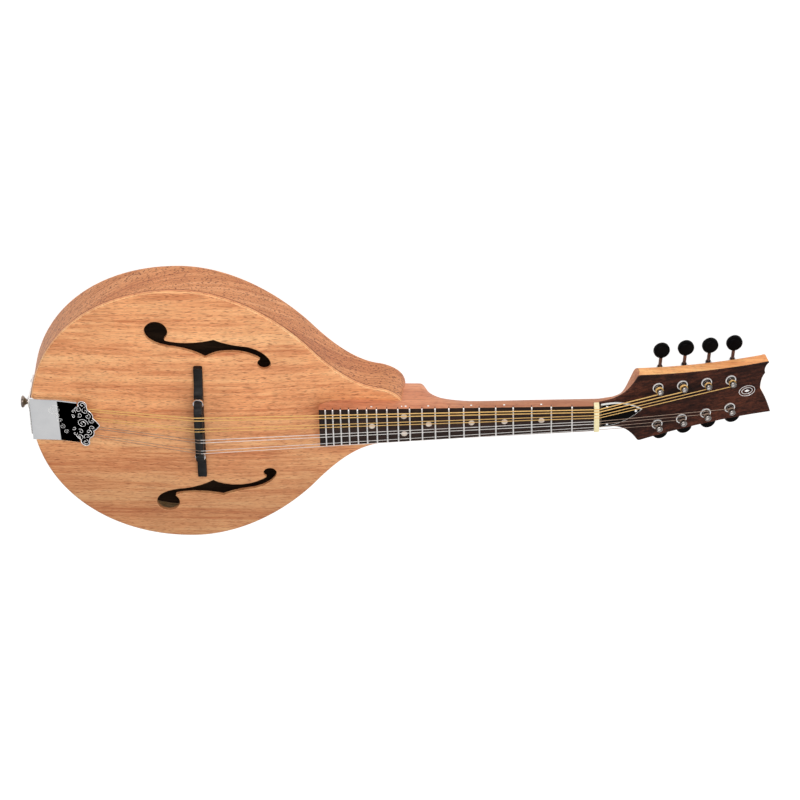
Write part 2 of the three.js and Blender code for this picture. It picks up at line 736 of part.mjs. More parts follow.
function crest(thick) {
  const half = new THREE.Path();
  half.moveTo(-3, 15);
  half.lineTo(0.5, 18.5);
  half.absarc(5.6, 21, 4.2, Math.PI * 1.1, Math.PI * 0.1, true);
  half.quadraticCurveTo(9, 15, 12.5, 14.3);
  half.quadraticCurveTo(15.6, 10.5, 14.6, 7);
  half.quadraticCurveTo(18, 4.5, 20.8, 0);
  const points = half.getPoints(4);
  const shape = new THREE.Shape([...points, ...mirrored(points.slice(0, -1))]);
  const sheet = new THREE.ExtrudeGeometry(shape, { depth: thick, bevelEnabled: false, curveSegments: 4 });
  return sheet.rotateY(-STRING_SLOPE).translate(-112.4, 0, COVER_BACK.z + 3.4);
}

function strapButton() {
  const profile = [[0, -16], [2.4, -16], [3, 0.2], [6, 0.2], [5.6, 3.2], [2.6, 3.4], [2.5, 5.4], [4.8, 7.2],
    [5.5, 8.4], [5.3, 9.6], [4.2, 10], [0, 10]];
  return turned(profile, 14).rotateY(-Math.PI / 2).translate(TAIL_X - 1.5, 0, STRAP_Z);
}

function tailpiece() {
  const group = new THREE.Group();
  group.add(
    part('tailpiece_bracket', bracket(), 'chrome'),
    part('tailpiece_cover', cover(), 'chrome'),
    part('strap_button', strapButton(), 'chrome'),
  );
  return group;
}

// ---- Strings ------------------------------------------------------------------------------

// A path through given corners, with one sweep section on every corner.
class CornerPath extends THREE.Curve {
  constructor(corners) {
    super();
    this.corners = corners;
  }

  getPoint(t, target = new THREE.Vector3()) {
    const place = t * (this.corners.length - 1);
    const first = Math.min(Math.floor(place), this.corners.length - 2);
    return target.lerpVectors(this.corners[first], this.corners[first + 1], place - first);
  }

  getPointAt(u, target) {
    return this.getPoint(u, target);
  }

  getTangentAt(u, target) {
    return this.getTangent(u, target);
  }
}

function wire(corners, radius, sides = 5) {
  const section = new THREE.Shape();
  section.absarc(0, 0, radius, 0, Math.PI * 2, false);
  const round = new THREE.Shape(section.getSpacedPoints(sides).slice(0, sides));
  const options = { steps: corners.length - 1, extrudePath: new CornerPath(corners) };
  return new THREE.ExtrudeGeometry(round, options);
}

// Corners of one string: hook, saddle, nut, then turns around its post.
function stringCorners({ radius, across, nutY }, side, postNumber) {
  const rest = radius + 0.08;
  const crown = side > 0 ? CROWN_BASS : CROWN_TREBLE;
  const neckTurn = new THREE.Matrix4().makeRotationY(NECK_TILT).setPosition(SCALE, 0, BOARD_NUT_Z);
  const corners = [new THREE.Vector3(HOOK_X, across * TAIL_SPREAD, HOOK_Z + radius)];
  const bridgeX = BRIDGE_X - across * Math.tan(BRIDGE_TURN);
  for (const x of crown) corners.push(new THREE.Vector3(bridgeX + x, across, SADDLE_TOP + rest));
  for (const x of [0, NUT_LONG]) {
    const onNut = new THREE.Vector3(x, nutY, NUT_TOP + rest);
    corners.push(onNut.applyMatrix4(neckTurn));
  }
  const headTurn = new THREE.Matrix4().makeRotationY(HEAD_TILT).setPosition(HEAD_X, 0, HEAD_Z);
  const along = postNumber * POST_STEP;
  const postX = POST_FIRST + along * Math.cos(POST_LINE);
  const postY = side * (POST_HALF - along * Math.sin(POST_LINE));
  const coil = POST_R + GAP + radius;
  const perTurn = 8;
  const turns = 2;
  for (let i = 0; i <= perTurn * turns; i += 1) {
    const angle = (i / perTurn) * Math.PI * 2 - Math.PI / 2;
    const height = 5.4 - (i / perTurn) * (2 * radius + 0.3);
    const x = postX + coil * Math.cos(angle);
    const y = postY + side * coil * Math.sin(angle);
    const local = new THREE.Vector3(x, y, height);
    corners.push(local.applyMatrix4(headTurn));
  }
  return corners;
}

function strings() {
  const group = new THREE.Group();
  STRINGS.forEach((string, i) => {
    const side = string.across > 0 ? 1 : -1;
    const postNumber = side > 0 ? i : STRINGS.length - 1 - i;
    const path = stringCorners(string, side, postNumber);
    group.add(part(string.name, wire(path, string.radius), side > 0 ? 'bronze' : 'steel'));
  });
  return group;
}

// ---- Whole instrument ---------------------------------------------------------------------

const mandolin = new THREE.Group();
mandolin.add(body(), neckAssembly(), tuners(), bridge(), tailpiece(), strings());

export default mandolin;
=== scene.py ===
"""Looks of an A-style mandolin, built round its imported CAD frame.

Row frame: the origin is on the centre line where the scale ends at the bridge, on the outer face of
the back. +X runs to the headstock, +Y to the bass strings, +Z out of the top. Shapes are drawn in
millimetres and become metres when they are written into a mesh.
"""

import math

import bmesh
import bpy
import numpy as np
from mathutils import Matrix, Vector
from mathutils.geometry import delaunay_2d_cdt


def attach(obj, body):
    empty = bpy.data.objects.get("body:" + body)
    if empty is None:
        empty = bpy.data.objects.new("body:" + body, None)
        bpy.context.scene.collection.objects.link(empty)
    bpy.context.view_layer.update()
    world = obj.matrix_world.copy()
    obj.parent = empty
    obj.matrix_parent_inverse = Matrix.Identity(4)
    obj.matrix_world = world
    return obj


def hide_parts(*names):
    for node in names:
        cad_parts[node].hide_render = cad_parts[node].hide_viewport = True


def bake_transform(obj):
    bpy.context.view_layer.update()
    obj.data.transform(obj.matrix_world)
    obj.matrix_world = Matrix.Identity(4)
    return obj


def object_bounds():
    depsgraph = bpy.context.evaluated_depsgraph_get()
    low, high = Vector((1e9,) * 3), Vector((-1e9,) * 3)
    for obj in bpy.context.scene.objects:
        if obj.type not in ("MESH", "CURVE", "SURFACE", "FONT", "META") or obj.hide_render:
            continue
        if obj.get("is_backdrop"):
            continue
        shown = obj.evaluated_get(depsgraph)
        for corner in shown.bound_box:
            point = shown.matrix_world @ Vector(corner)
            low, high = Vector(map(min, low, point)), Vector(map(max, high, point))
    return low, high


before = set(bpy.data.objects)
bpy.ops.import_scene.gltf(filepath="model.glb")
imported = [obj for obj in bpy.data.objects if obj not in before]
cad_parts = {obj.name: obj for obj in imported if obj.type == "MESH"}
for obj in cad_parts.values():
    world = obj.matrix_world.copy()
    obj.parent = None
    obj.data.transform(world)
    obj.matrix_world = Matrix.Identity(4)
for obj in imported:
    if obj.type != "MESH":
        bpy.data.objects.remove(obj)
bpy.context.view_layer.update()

# ---- Driving dimensions ----

MM = 0.001

SCALE = 350  # nut to saddle
FRETS = 20
FRET_HALF = 0.68  # half the width of a fret wire
DOT_FRETS = (3, 5, 7, 10, 12, 15)

TAIL_X = -155.3
WAIST_X = -18
HALF_WIDTH = 139.2
BODY_END_X = 180.5
BODY_DEPTH = 40.7
BACK_THICK = 3
RIM_THICK = 2.4
RIM_TOP = 37.2
ARCH = 6.8
ARCH_CENTRE_X = -5
ARCH_HALF_LONG = 150
EDGE_ROUND = 2
HOLE_ROUND = 0.4
SEAM_Z = RIM_TOP - 1  # painted shade at the joint of rim and top runs from here to the top

NECK_TILT = math.radians(3.2)
BOARD_NUT_Z = 42.8
BOARD_THICK = 5.5
BOARD_END_X = 104.5
BOARD_HALF_NUT = 14.2
BOARD_HALF_END = 20.65
BINDING = 0.2  # pale strip on each side of the fingerboard
NECK_DEPTH = 21.6
NUT_LONG = 4.8
NUT_TOP = 1.2
ROD_DEPTH = 10

HEAD_TILT = math.radians(15)
HEAD_X = SCALE + 5
HEAD_Z = 38
HEAD_LONG = 158
HEAD_FLARE = 35.5  # from the nut end to the widest corner
HEAD_THICK = 13.5
VENEER_THICK = 2

POSTS = 4
POST_FIRST = 54
POST_STEP = 22.77
POST_HALF = 20.7
POST_LINE = math.radians(4.2)
POST_R = 3
GEAR_TEETH = 14
GEAR_R = 4.8
WORM_OFFSET = 7
WORM_DEPTH = 20
SHAFT_R = 1.6
BUTTON_R = 7.4
BUTTON_OUT = 25.8

SADDLE_TOP = 67.2
SADDLE_BOTTOM = 61.2
SADDLE_HALF = 3.7  # half the saddle's width along the strings
BASE_HALF = 61.5
BRIDGE_X = -2.5
BRIDGE_TURN = math.radians(-1)
WHEEL_Y = 30
WHEEL_R = 4.9
WHEEL_LOW = SADDLE_BOTTOM - 2.9
WHEEL_HIGH = SADDLE_BOTTOM - 0.3
STUD_R = 1.5
BORE_TOP = 64.1  # where the saddle's bores for the studs end
CROWN_BASS = (-3.7, 1.2)  # the part of the saddle's width that carries the bass strings
CROWN_TREBLE = (-0.6, 3.7)

BRACKET_HALF = 18.5
STRAP_Z = 18
HOOK_X = -129
HOOK_Z = 43
COVER_BACK_X = -154.7
COVER_FRONT_X = -112
COVER_HALF = 23
COVER_Z = 44.5  # at its back edge
COVER_SLOPES = (0.055, 0.19)  # of its back and front parts
COVER_BEND = (-134, -124)  # where the one slope passes into the other
STRING_SLOPE = 0.2
WIRE_WIDTH = 0.34  # of the winding on the bass strings

# One row per pair, bass to treble: name, radius, and the place of its middle across the bridge.
COURSES = (("g", 0.48, 18.5), ("d", 0.34, 6), ("a", 0.2, -6.8), ("e", 0.15, -19.1))
PAIR_HALF = 1.6  # from the middle of a pair to its strings at the bridge
NUT_PAIR_HALF = 1.45
NUT_SPREAD = 0.54
TAIL_SPREAD = 0.7
COIL_TOP = 5.9  # height of the first turn on a post above the headstock's face
COIL_STEPS = 16  # points in each turn

# Every string from bass to treble: name, radius, and its places across the bridge and the nut.
STRINGS = [
    (
        f"{name}_{'outer' if to_bass * middle > 0 else 'inner'}",
        radius,
        middle + to_bass * PAIR_HALF,
        middle * NUT_SPREAD + to_bass * NUT_PAIR_HALF,
    )
    for name, radius, middle in COURSES
    for to_bass in (1, -1)
]

SIDES = (("bass", 1), ("treble", -1))

IN_NECK = Matrix.Translation((SCALE, 0, BOARD_NUT_Z)) @ Matrix.Rotation(NECK_TILT, 4, "Y")
IN_HEAD = Matrix.Translation((HEAD_X, 0, HEAD_Z)) @ Matrix.Rotation(HEAD_TILT, 4, "Y")
IN_BRIDGE = Matrix.Translation((BRIDGE_X, 0, 0)) @ Matrix.Rotation(BRIDGE_TURN, 4, "Z")
Z_TO_X = Matrix.Rotation(math.pi / 2, 4, "Y")
Z_TO_MINUS_X = Matrix.Rotation(-math.pi / 2, 4, "Y")


def tuner_side(side):
    """Frame of one tuner plate: X along the plate, Y inboard to bass, Z out of the headstock face."""
    place = Matrix.Translation((POST_FIRST, side * POST_HALF, 0))
    return IN_HEAD @ place @ Matrix.Rotation(-side * POST_LINE, 4, "Z")


# ---- Shapes ----


class Shape:
    """Points in millimetres and the faces between them. Shapes add up to one mesh."""

    def __init__(self, points=(), faces=()):
        self.points = [Vector(p) for p in points]
        self.faces = [tuple(f) for f in faces]

    def __add__(self, other):
        first = len(self.points)
        shifted = [tuple(i + first for i in face) for face in other.faces]
        return Shape(self.points + other.points, self.faces + shifted)

    def moved(self, matrix):
        return Shape([matrix @ p for p in self.points], self.faces)

    def at(self, x=0, y=0, z=0):
        return self.moved(Matrix.Translation((x, y, z)))


def bmesh_of(shape):
    made = bmesh.new()
    corners = [made.verts.new(p) for p in shape.points]
    for face in shape.faces:
        made.faces.new([corners[i] for i in face])
    bmesh.ops.recalc_face_normals(made, faces=made.faces[:])
    return made


def shape_of(made):
    """The shape held by a bmesh or a mesh, which is freed if it is a bmesh."""
    if isinstance(made, bpy.types.Mesh):
        return Shape([v.co for v in made.vertices], [tuple(p.vertices) for p in made.polygons])
    made.verts.index_update()
    shape = Shape([v.co for v in made.verts], [tuple(v.index for v in f.verts) for f in made.faces])
    made.free()
    return shape


def mesh_of(shape, name="shape", scale=1):
    mesh = bpy.data.meshes.new(name)
    made = bmesh_of(shape)
    bmesh.ops.scale(made, vec=(scale, scale, scale), verts=made.verts[:])
    made.to_mesh(mesh)
    made.free()
    return mesh


def rounded(shape, width, steps=2, angle=30):
    """The shape with its sharp edges rounded over."""
    made = bmesh_of(shape)
    sharp = [e for e in made.edges if e.is_manifold and e.calc_face_angle(0) > math.radians(angle)]
    how = {"offset": width, "segments": steps, "profile": 0.5, "affect": "EDGES", "clamp_overlap": True}
    bmesh.ops.bevel(made, geom=sharp, **how)
    return shape_of(made)


def boolean(shape, tool, operation="DIFFERENCE"):
    """The shape with the tool cut away, or joined on with UNION."""
    body = bpy.data.objects.new("body", mesh_of(shape))
    other = bpy.data.objects.new("tool", mesh_of(tool))
    for o in (body, other):
        bpy.context.scene.collection.objects.link(o)
    modifier = body.modifiers.new("cut", "BOOLEAN")
    modifier.object = other
    modifier.operation = operation
    modifier.solver = "EXACT"
    solved = body.evaluated_get(bpy.context.evaluated_depsgraph_get()).to_mesh()
    result = shape_of(solved)
    for o in (body, other):
        mesh = o.data
        bpy.data.objects.remove(o)
        bpy.data.meshes.remove(mesh)
    return result


def loft(sections, closed=False):
    """Skin over rings of points with one count each; the ends are flat unless the rings close up."""
    count = len(sections[0])
    points = [p for section in sections for p in section]
    faces = []
    for s in range(len(sections) if closed else len(sections) - 1):
        a, b = s * count, (s + 1) % len(sections) * count
        for i in range(count):
            j = (i + 1) % count
            faces.append((a + i, a + j, b + j, b + i))
    if not closed:
        faces.append(tuple(range(count)))
        faces.append(tuple(range(len(points) - count, len(points))))
    return Shape(points, faces)


def ring(radius, height, sides=32):
    turns = [2 * math.pi * i / sides for i in range(sides)]
    return [(radius * math.cos(a), radius * math.sin(a), height) for a in turns]


def lathe(profile, sides=32, closed=False):
    """A turned solid on +Z from (radius, height) pairs; closed makes a hollow ring of them."""
    return loft([ring(radius, height, sides) for radius, height in profile], closed)


def rod(radius, low, high, sides=24):
    return lathe([(radius, low), (radius, high)], sides)


def prism(outline, low, high):
    return loft([[(x, y, z) for x, y in outline] for z in (low, high)])


def stack(outline, rows):
    """Copies of an outline drawn in by an inset at each height, from (inset, height) rows."""
    return loft([[(x, y, z) for x, y in inset(outline, by)] for by, z in rows])


def box(low, high, bevel=0.3):
    made = bmesh.new()
    bmesh.ops.create_cube(made, size=1)
    low, high = Vector(low), Vector(high)
    bmesh.ops.scale(made, vec=high - low, verts=made.verts[:])
    bmesh.ops.translate(made, vec=(low + high) / 2, verts=made.verts[:])
    if bevel:
        how = {"offset": bevel, "segments": 2, "profile": 0.5, "affect": "EDGES"}
        bmesh.ops.bevel(made, geom=made.edges[:], **how)
    return shape_of(made)


def sweep(path, radius, sides=10):
    """A round wire along a path, its section turned as little as the path allows."""
    path = [Vector(p) for p in path]
    across = None
    sections = []
    for i, point in enumerate(path):
        ahead = (path[min(i + 1, len(path) - 1)] - path[max(i - 1, 0)]).normalized()
        across = ahead.orthogonal() if across is None else across - ahead * across.dot(ahead)
        across.normalize()
        up = ahead.cross(across)
        turns = [2 * math.pi * k / sides for k in range(sides)]
        sections.append([point + radius * (math.cos(a) * across + math.sin(a) * up) for a in turns])
    return loft(sections)


def screw_thread(core, crest, pitch, low, high, sides=24):
    """A rod on +Z with one right-hand thread."""
    steps = max(2, round((high - low) / pitch * 8))
    sections = []
    for s in range(steps + 1):
        height = low + (high - low) * s / steps
        section = []
        for i in range(sides):
            phase = (i / sides - height / pitch) % 1
            radius = core + (crest - core) * min(1, max(0, 1.6 * abs(2 * phase - 1) - 0.3))
            angle = 2 * math.pi * (i / sides)
            section.append((radius * math.cos(angle), radius * math.sin(angle), height))
        sections.append(section)
    return loft(sections)


def screw_head(radius, height):
    """A domed head on z 0 with a cross recess."""
    dome = [(radius, 0)]
    for i in range(5):
        angle = math.pi / 2 * i / 5
        dome.append((radius * math.cos(angle), height * (0.25 + 0.75 * math.sin(angle))))
    dome.append((radius * 0.12, height))
    arm = 0.12 * radius
    bar = box((-0.6 * radius, -arm, 0.45 * height), (0.6 * radius, arm, 2 * height), 0)
    recess = boolean(bar, bar.moved(Matrix.Rotation(math.pi / 2, 4, "Z")), "UNION")
    return boolean(lathe(dome, 24), recess)


# ---- Outlines ----


def bezier(corners, share):
    """Point and direction at a share of a Bezier curve of any degree."""
    points = [Vector(c) for c in corners]
    while len(points) > 2:
        points = [a.lerp(b, share) for a, b in zip(points, points[1:])]
    return points[0].lerp(points[1], share), (points[1] - points[0]).normalized()


def curve(corners, steps):
    """Points along a Bezier curve, without its first."""
    return [tuple(bezier(corners, i / steps)[0]) for i in range(1, steps + 1)]


def arc(centre, radius, start, end, steps):
    """Points along an arc between two angles in half turns, without its first."""
    turns = [math.pi * (start + (end - start) * i / steps) for i in range(1, steps + 1)]
    return [(centre[0] + radius * math.cos(a), centre[1] + radius * math.sin(a)) for a in turns]


def mirrored(outline):
    return [(x, -y) for x, y in reversed(outline)]


def both_halves(half):
    """A whole outline from a half whose last point may lie on the centre line."""
    return half + [p for p in mirrored(half) if abs(p[1]) > 1e-9]


def signed_area(outline):
    following = outline[1:] + outline[:1]
    return sum(a[0] * b[1] - b[0] * a[1] for a, b in zip(outline, following)) / 2


def inset(outline, by):
    """The outline drawn inward by a small distance, corner by corner."""
    if not by:
        return outline
    turn = 1 if signed_area(outline) > 0 else -1
    moved = []
    for i, point in enumerate(outline):
        p = Vector(point)
        a = (p - Vector(outline[i - 1])).normalized()
        b = (Vector(outline[(i + 1) % len(outline)]) - p).normalized()
        normal_a, normal_b = Vector((-a.y, a.x)) * turn, Vector((-b.y, b.x)) * turn
        normal = (normal_a + normal_b).normalized()
        moved.append(tuple(p + normal * by / max(0.5, normal.dot(normal_a))))
    return moved


def smooth(knots, x):
    """Height at x of a curve through knots that never overshoots them."""
    xs, ys = zip(*knots)
    slopes = [(ys[i + 1] - ys[i]) / (xs[i + 1] - xs[i]) for i in range(len(xs) - 1)]
    tangents = [slopes[0]]
    for a, b in zip(slopes, slopes[1:]):
        tangents.append(2 * a * b / (a + b) if a * b > 0 else 0)
    tangents.append(slopes[-1])
    i = max(0, min(len(xs) - 2, int(np.searchsorted(xs, x)) - 1))
    wide = xs[i + 1] - xs[i]
    t = min(1, max(0, (x - xs[i]) / wide))
    rise = ys[i] * (2 * t**3 - 3 * t**2 + 1) + ys[i + 1] * (3 * t**2 - 2 * t**3)
    return rise + wide * (tangents[i] * (t**3 - 2 * t**2 + t) + tangents[i + 1] * (t**3 - t**2))


BODY_CURVES = (
    (46, (TAIL_X, 0), (TAIL_X, 80), (-98, HALF_WIDTH), (WAIST_X, HALF_WIDTH)),
    (44, (WAIST_X, HALF_WIDTH), (29, HALF_WIDTH), (71, 107.5), (97, 77)),
    (30, (97, 77), (121, 47), (141, 33), (158.5, 30.8)),
    (16, (158.5, 30.8), (168, 28.5), (BODY_END_X, 22), (BODY_END_X, 9)),
)


def half_body(inward=0):
    """Half outline of the body from the tail round the bass side to the neck end."""
    points = []
    for steps, *corners in BODY_CURVES:
        for i in range(1 if points else 0, steps + 1):
            point, along = bezier(corners, i / steps)
            points.append((point.x + along.y * inward, point.y - along.x * inward))
    return points


def body_outline(inward=0):
    half = half_body(inward)
    return half + mirrored(half)[:-1]


def sound_hole(side):
    """Outline of an f-hole: two round lobes joined by two long edges with a notch each."""
    outline = [(-30, 89.5)]
    outline += arc((-37.2, 97), 10.4, -0.8 / math.pi, 1.11, 34)
    outline += curve([outline[-1], (-45, 87), (-37.5, 82.8), (-25.5, 80.5)], 16)
    outline += curve([outline[-1], (-8, 78.5), (5.5, 69.5)], 20)
    outline += curve([outline[-1], (15, 77), (38, 79), (53.8, 67)], 30)
    outline += arc((57.3, 62.3), 6, 0.7, 2.06, 24)
    outline += curve([outline[-1], (62.2, 69), (55, 77.5), (42, 80.8)], 18)
    outline += curve([outline[-1], (25, 83), (13.7, 88.7)], 18)
    outline += curve([outline[-1], (5, 86.5), (-12, 83), (-29.5, 87.8)], 26)
    return outline if side > 0 else mirrored(outline)


def head_flank(long):
    """One flank of the headstock from the nut to the corner at its end."""
    flank = [(0, BOARD_HALF_NUT - 0.2)]
    flank += curve([flank[-1], (20, 13.8), (27.5, 21), (HEAD_FLARE, 35)], 20)
    flank += curve([flank[-1], (36.8, 36.7), (39, 36.2)], 5)
    return flank + curve([flank[-1], (70, 31), (115, 26.6), (long, 28.2)], 24)


def head_outline():
    """The bass corner has a notch below it; the treble corner is a longer plain point."""
    bass = head_flank(HEAD_LONG)
    bass += curve([bass[-1], (152.6, 23.5), (154.6, 17)], 8)
    bass += curve([bass[-1], (151.5, 13), (150.4, 8), (150.4, 0)], 12)
    treble = head_flank(HEAD_LONG + 3)
    treble += curve([treble[-1], (156.5, 11), (150.4, 0)], 16)
    return bass + mirrored(treble[:-1])


def round_corners(low, high, radius, steps=6):
    """A rectangle with round corners, between two corner points."""
    outline = []
    middle = ((low[0] + high[0]) / 2, (low[1] + high[1]) / 2)
    reach = ((high[0] - low[0]) / 2 - radius, (high[1] - low[1]) / 2 - radius)
    for quarter, (sx, sy) in enumerate(((1, 1), (-1, 1), (-1, -1), (1, -1))):
        centre = (middle[0] + sx * reach[0], middle[1] + sy * reach[1])
        outline += arc(centre, radius, quarter / 2 - 0.5 / steps, quarter / 2 + 0.5, steps + 1)
    return outline


# ---- Heights ----


def arch(x, y):
    along = (x - ARCH_CENTRE_X) / ARCH_HALF_LONG
    across = y / HALF_WIDTH
    return ARCH * max(0, 1 - along * along - across * across) ** 1.7


def board_z(x):
    return BOARD_NUT_Z + (SCALE - x) * math.tan(NECK_TILT)


def board_half(x):
    share = (SCALE - min(x, SCALE)) / (SCALE - BOARD_END_X)
    return BOARD_HALF_NUT + (BOARD_HALF_END - BOARD_HALF_NUT) * share


def neck_top(x):
    return board_z(x) - BOARD_THICK / math.cos(NECK_TILT)


def fret_x(n):
    """Place of a fret in neck coordinates, where the nut is at 0."""
    return SCALE * 2 ** (-n / 12) - SCALE


# ---- Plates with holes ----


def distance_to(points, loop):
    """Distance from each point to a closed line."""
    starts = np.array(loop)
    spans = np.roll(starts, -1, axis=0) - starts
    gaps = points[:, None, :] - starts[None, :, :]
    share = np.clip((gaps * spans).sum(-1) / (spans * spans).sum(-1), 0, 1)
    return np.linalg.norm(gaps - share[..., None] * spans, axis=-1).min(axis=1)


def inside(points, loop):
    """Which points a closed line goes round."""
    a = np.array(loop)
    b = np.roll(a, -1, axis=0)
    x, y = points[:, None, 0], points[:, None, 1]
    crosses = (a[:, 1] > y) != (b[:, 1] > y)
    rise = np.where(b[:, 1] == a[:, 1], 1e-12, b[:, 1] - a[:, 1])
    return (crosses & (x < a[:, 0] + (y - a[:, 1]) / rise * (b[:, 0] - a[:, 0]))).sum(axis=1) % 2 == 1


def quarter_round(distance, radius):
    """How far a rounded edge drops at a distance in from the outline."""
    left = radius - np.clip(distance, 0, radius)
    return radius - np.sqrt(radius * radius - left * left)


ROW_HEIGHT = 0.866  # of a triangle with sides of 1


def filling(outer, holes, edge_round, hole_round, spacing):
    """A triangular grid of points within an outline, clear of its rounded edges."""
    left, right = min(p[0] for p in outer), max(p[0] for p in outer)
    low, high = min(p[1] for p in outer), max(p[1] for p in outer)
    grid = []
    for row in range(int((high - low) / (spacing * ROW_HEIGHT)) + 2):
        for column in range(int((right - left) / spacing) + 2):
            x = left + (column + 0.5 * (row % 2)) * spacing
            grid.append((x, low + row * spacing * ROW_HEIGHT))
    grid = np.array(grid)
    keep = inside(grid, outer) & (distance_to(grid, outer) > edge_round + spacing * 0.4)
    for hole in holes:
        keep &= ~inside(grid, hole) & (distance_to(grid, hole) > hole_round + spacing * 0.3)
    return list(map(tuple, grid[keep]))


def rounding_lines(loop, reach, inward):
    """Points on the lines where a rounded edge bends."""
    points = []
    for share in (0.1, 0.32, 0.65, 1.0):
        line = np.array(inset(loop, reach * share * inward))
        clear = distance_to(line, loop) > reach * share * 0.93
        points += list(map(tuple, line[clear]))
    return points


def plate(outer, holes, edge_round, hole_round, spacing, top, bottom):
    """A plate with holes and rounded upper edges; top and bottom give its heights from x and y."""
    loops = [outer, *holes]
    extra = filling(outer, holes, edge_round, hole_round, spacing)
    extra += rounding_lines(outer, edge_round, 1)
    for hole in holes:
        extra += rounding_lines(hole, hole_round, -1)
    corners = [Vector(p) for p in sum(loops, []) + extra]
    edges = []
    first = 0
    for loop in loops:
        edges += [(first + i, first + (i + 1) % len(loop)) for i in range(len(loop))]
        first += len(loop)
    flat, _, triangles, origins, _, _ = delaunay_2d_cdt(corners, edges, [], 0, 1e-6)
    spots = np.array([tuple(p) for p in flat])
    middles = np.array([spots[list(t)].mean(axis=0) for t in triangles])
    kept = inside(middles, outer)
    drop = quarter_round(distance_to(spots, outer), edge_round)
    for hole in holes:
        kept &= ~inside(middles, hole)
        drop = np.maximum(drop, quarter_round(distance_to(spots, hole), hole_round))
    count = len(spots)
    points = [(x, y, top(x, y) - d) for (x, y), d in zip(spots, drop)]
    points += [(x, y, bottom(x, y)) for x, y in spots]
    faces = []
    for triangle, wanted in zip(triangles, kept):
        if wanted:
            faces.append(tuple(triangle))
            faces.append(tuple(i + count for i in reversed(triangle)))
    found = {source: i for i, sources in enumerate(origins) for source in sources}
    for a, b in edges:
        a, b = found[a], found[b]
        faces.append((a, b, b + count, a + count))
    used = sorted({i for face in faces for i in face})
    renumber = {old: new for new, old in enumerate(used)}
    faces = [tuple(renumber[i] for i in face) for face in faces]
    return Shape([points[i] for i in used], faces)


# ---- Materials ----


def paint(red, green, blue):
    """A linear colour from its 0 to 255 screen values."""
    shares = [c / 255 for c in (red, green, blue)]
    return (*(((c + 0.055) / 1.055) ** 2.4 if c > 0.04 else c / 12.92 for c in shares), 1)


class Finish:
    """A material under construction: a node tree with short calls to add nodes."""

    def __init__(self, name):
        self.material = bpy.data.materials.new(name)
        self.material.use_nodes = True
        self.tree = self.material.node_tree
        self.surface = self.tree.nodes["Principled BSDF"]

    def set(self, node, inputs):
        for key, value in inputs.items():
            if isinstance(value, bpy.types.NodeSocket):
                self.tree.links.new(value, node.inputs[key])
            else:
                node.inputs[key].default_value = value
        return node

    def add(self, kind, inputs=None, **settings):
        node = self.tree.nodes.new(kind)
        for key, value in settings.items():
            setattr(node, key, value)
        return self.set(node, inputs or {})

    def place(self):
        return self.add("ShaderNodeTexCoord").outputs["Object"]

    def grain(self):
        return self.add("ShaderNodeAttribute", attribute_name="grain").outputs["Vector"]

    def stretched(self, vector, scale):
        return self.add("ShaderNodeMapping", {"Vector": vector, "Scale": scale}).outputs[0]

    def noise(self, vector, scale=1.0, detail=2.0, rough=0.5):
        inputs = {"Vector": vector, "Scale": scale, "Detail": detail, "Roughness": rough}
        return self.add("ShaderNodeTexNoise", inputs).outputs["Fac"]

    def ramp(self, value, *stops):
        node = self.add("ShaderNodeValToRGB", {"Fac": value})
        elements = node.color_ramp.elements
        while len(elements) < len(stops):
            elements.new(0.5)
        for element, (place, colour) in zip(elements, stops):
            element.position = place
            element.color = colour
        return node.outputs["Color"]

    def between(self, value, low, high, from_low=0.0, from_high=1.0):
        inputs = {"Value": value, "From Min": from_low, "From Max": from_high}
        inputs |= {"To Min": low, "To Max": high}
        return self.add("ShaderNodeMapRange", inputs).outputs["Result"]

    def math(self, operation, a, b):
        return self.add("ShaderNodeMath", {0: a, 1: b}, operation=operation).outputs[0]

    def mix(self, share, a, b, blend="MIX"):
        node = self.add("ShaderNodeMix", data_type="RGBA", blend_type=blend)
        self.set(node, {0: share, 6: a, 7: b})
        return node.outputs[2]

    def dimmed(self, colour, share):
        grey = self.add("ShaderNodeCombineColor", {0: share, 1: share, 2: share}).outputs[0]
        return self.mix(1.0, colour, grey, "MULTIPLY")

    def bump(self, height, distance, strength=1.0):
        inputs = {"Height": height, "Distance": distance, "Strength": strength}
        return self.add("ShaderNodeBump", inputs).outputs["Normal"]


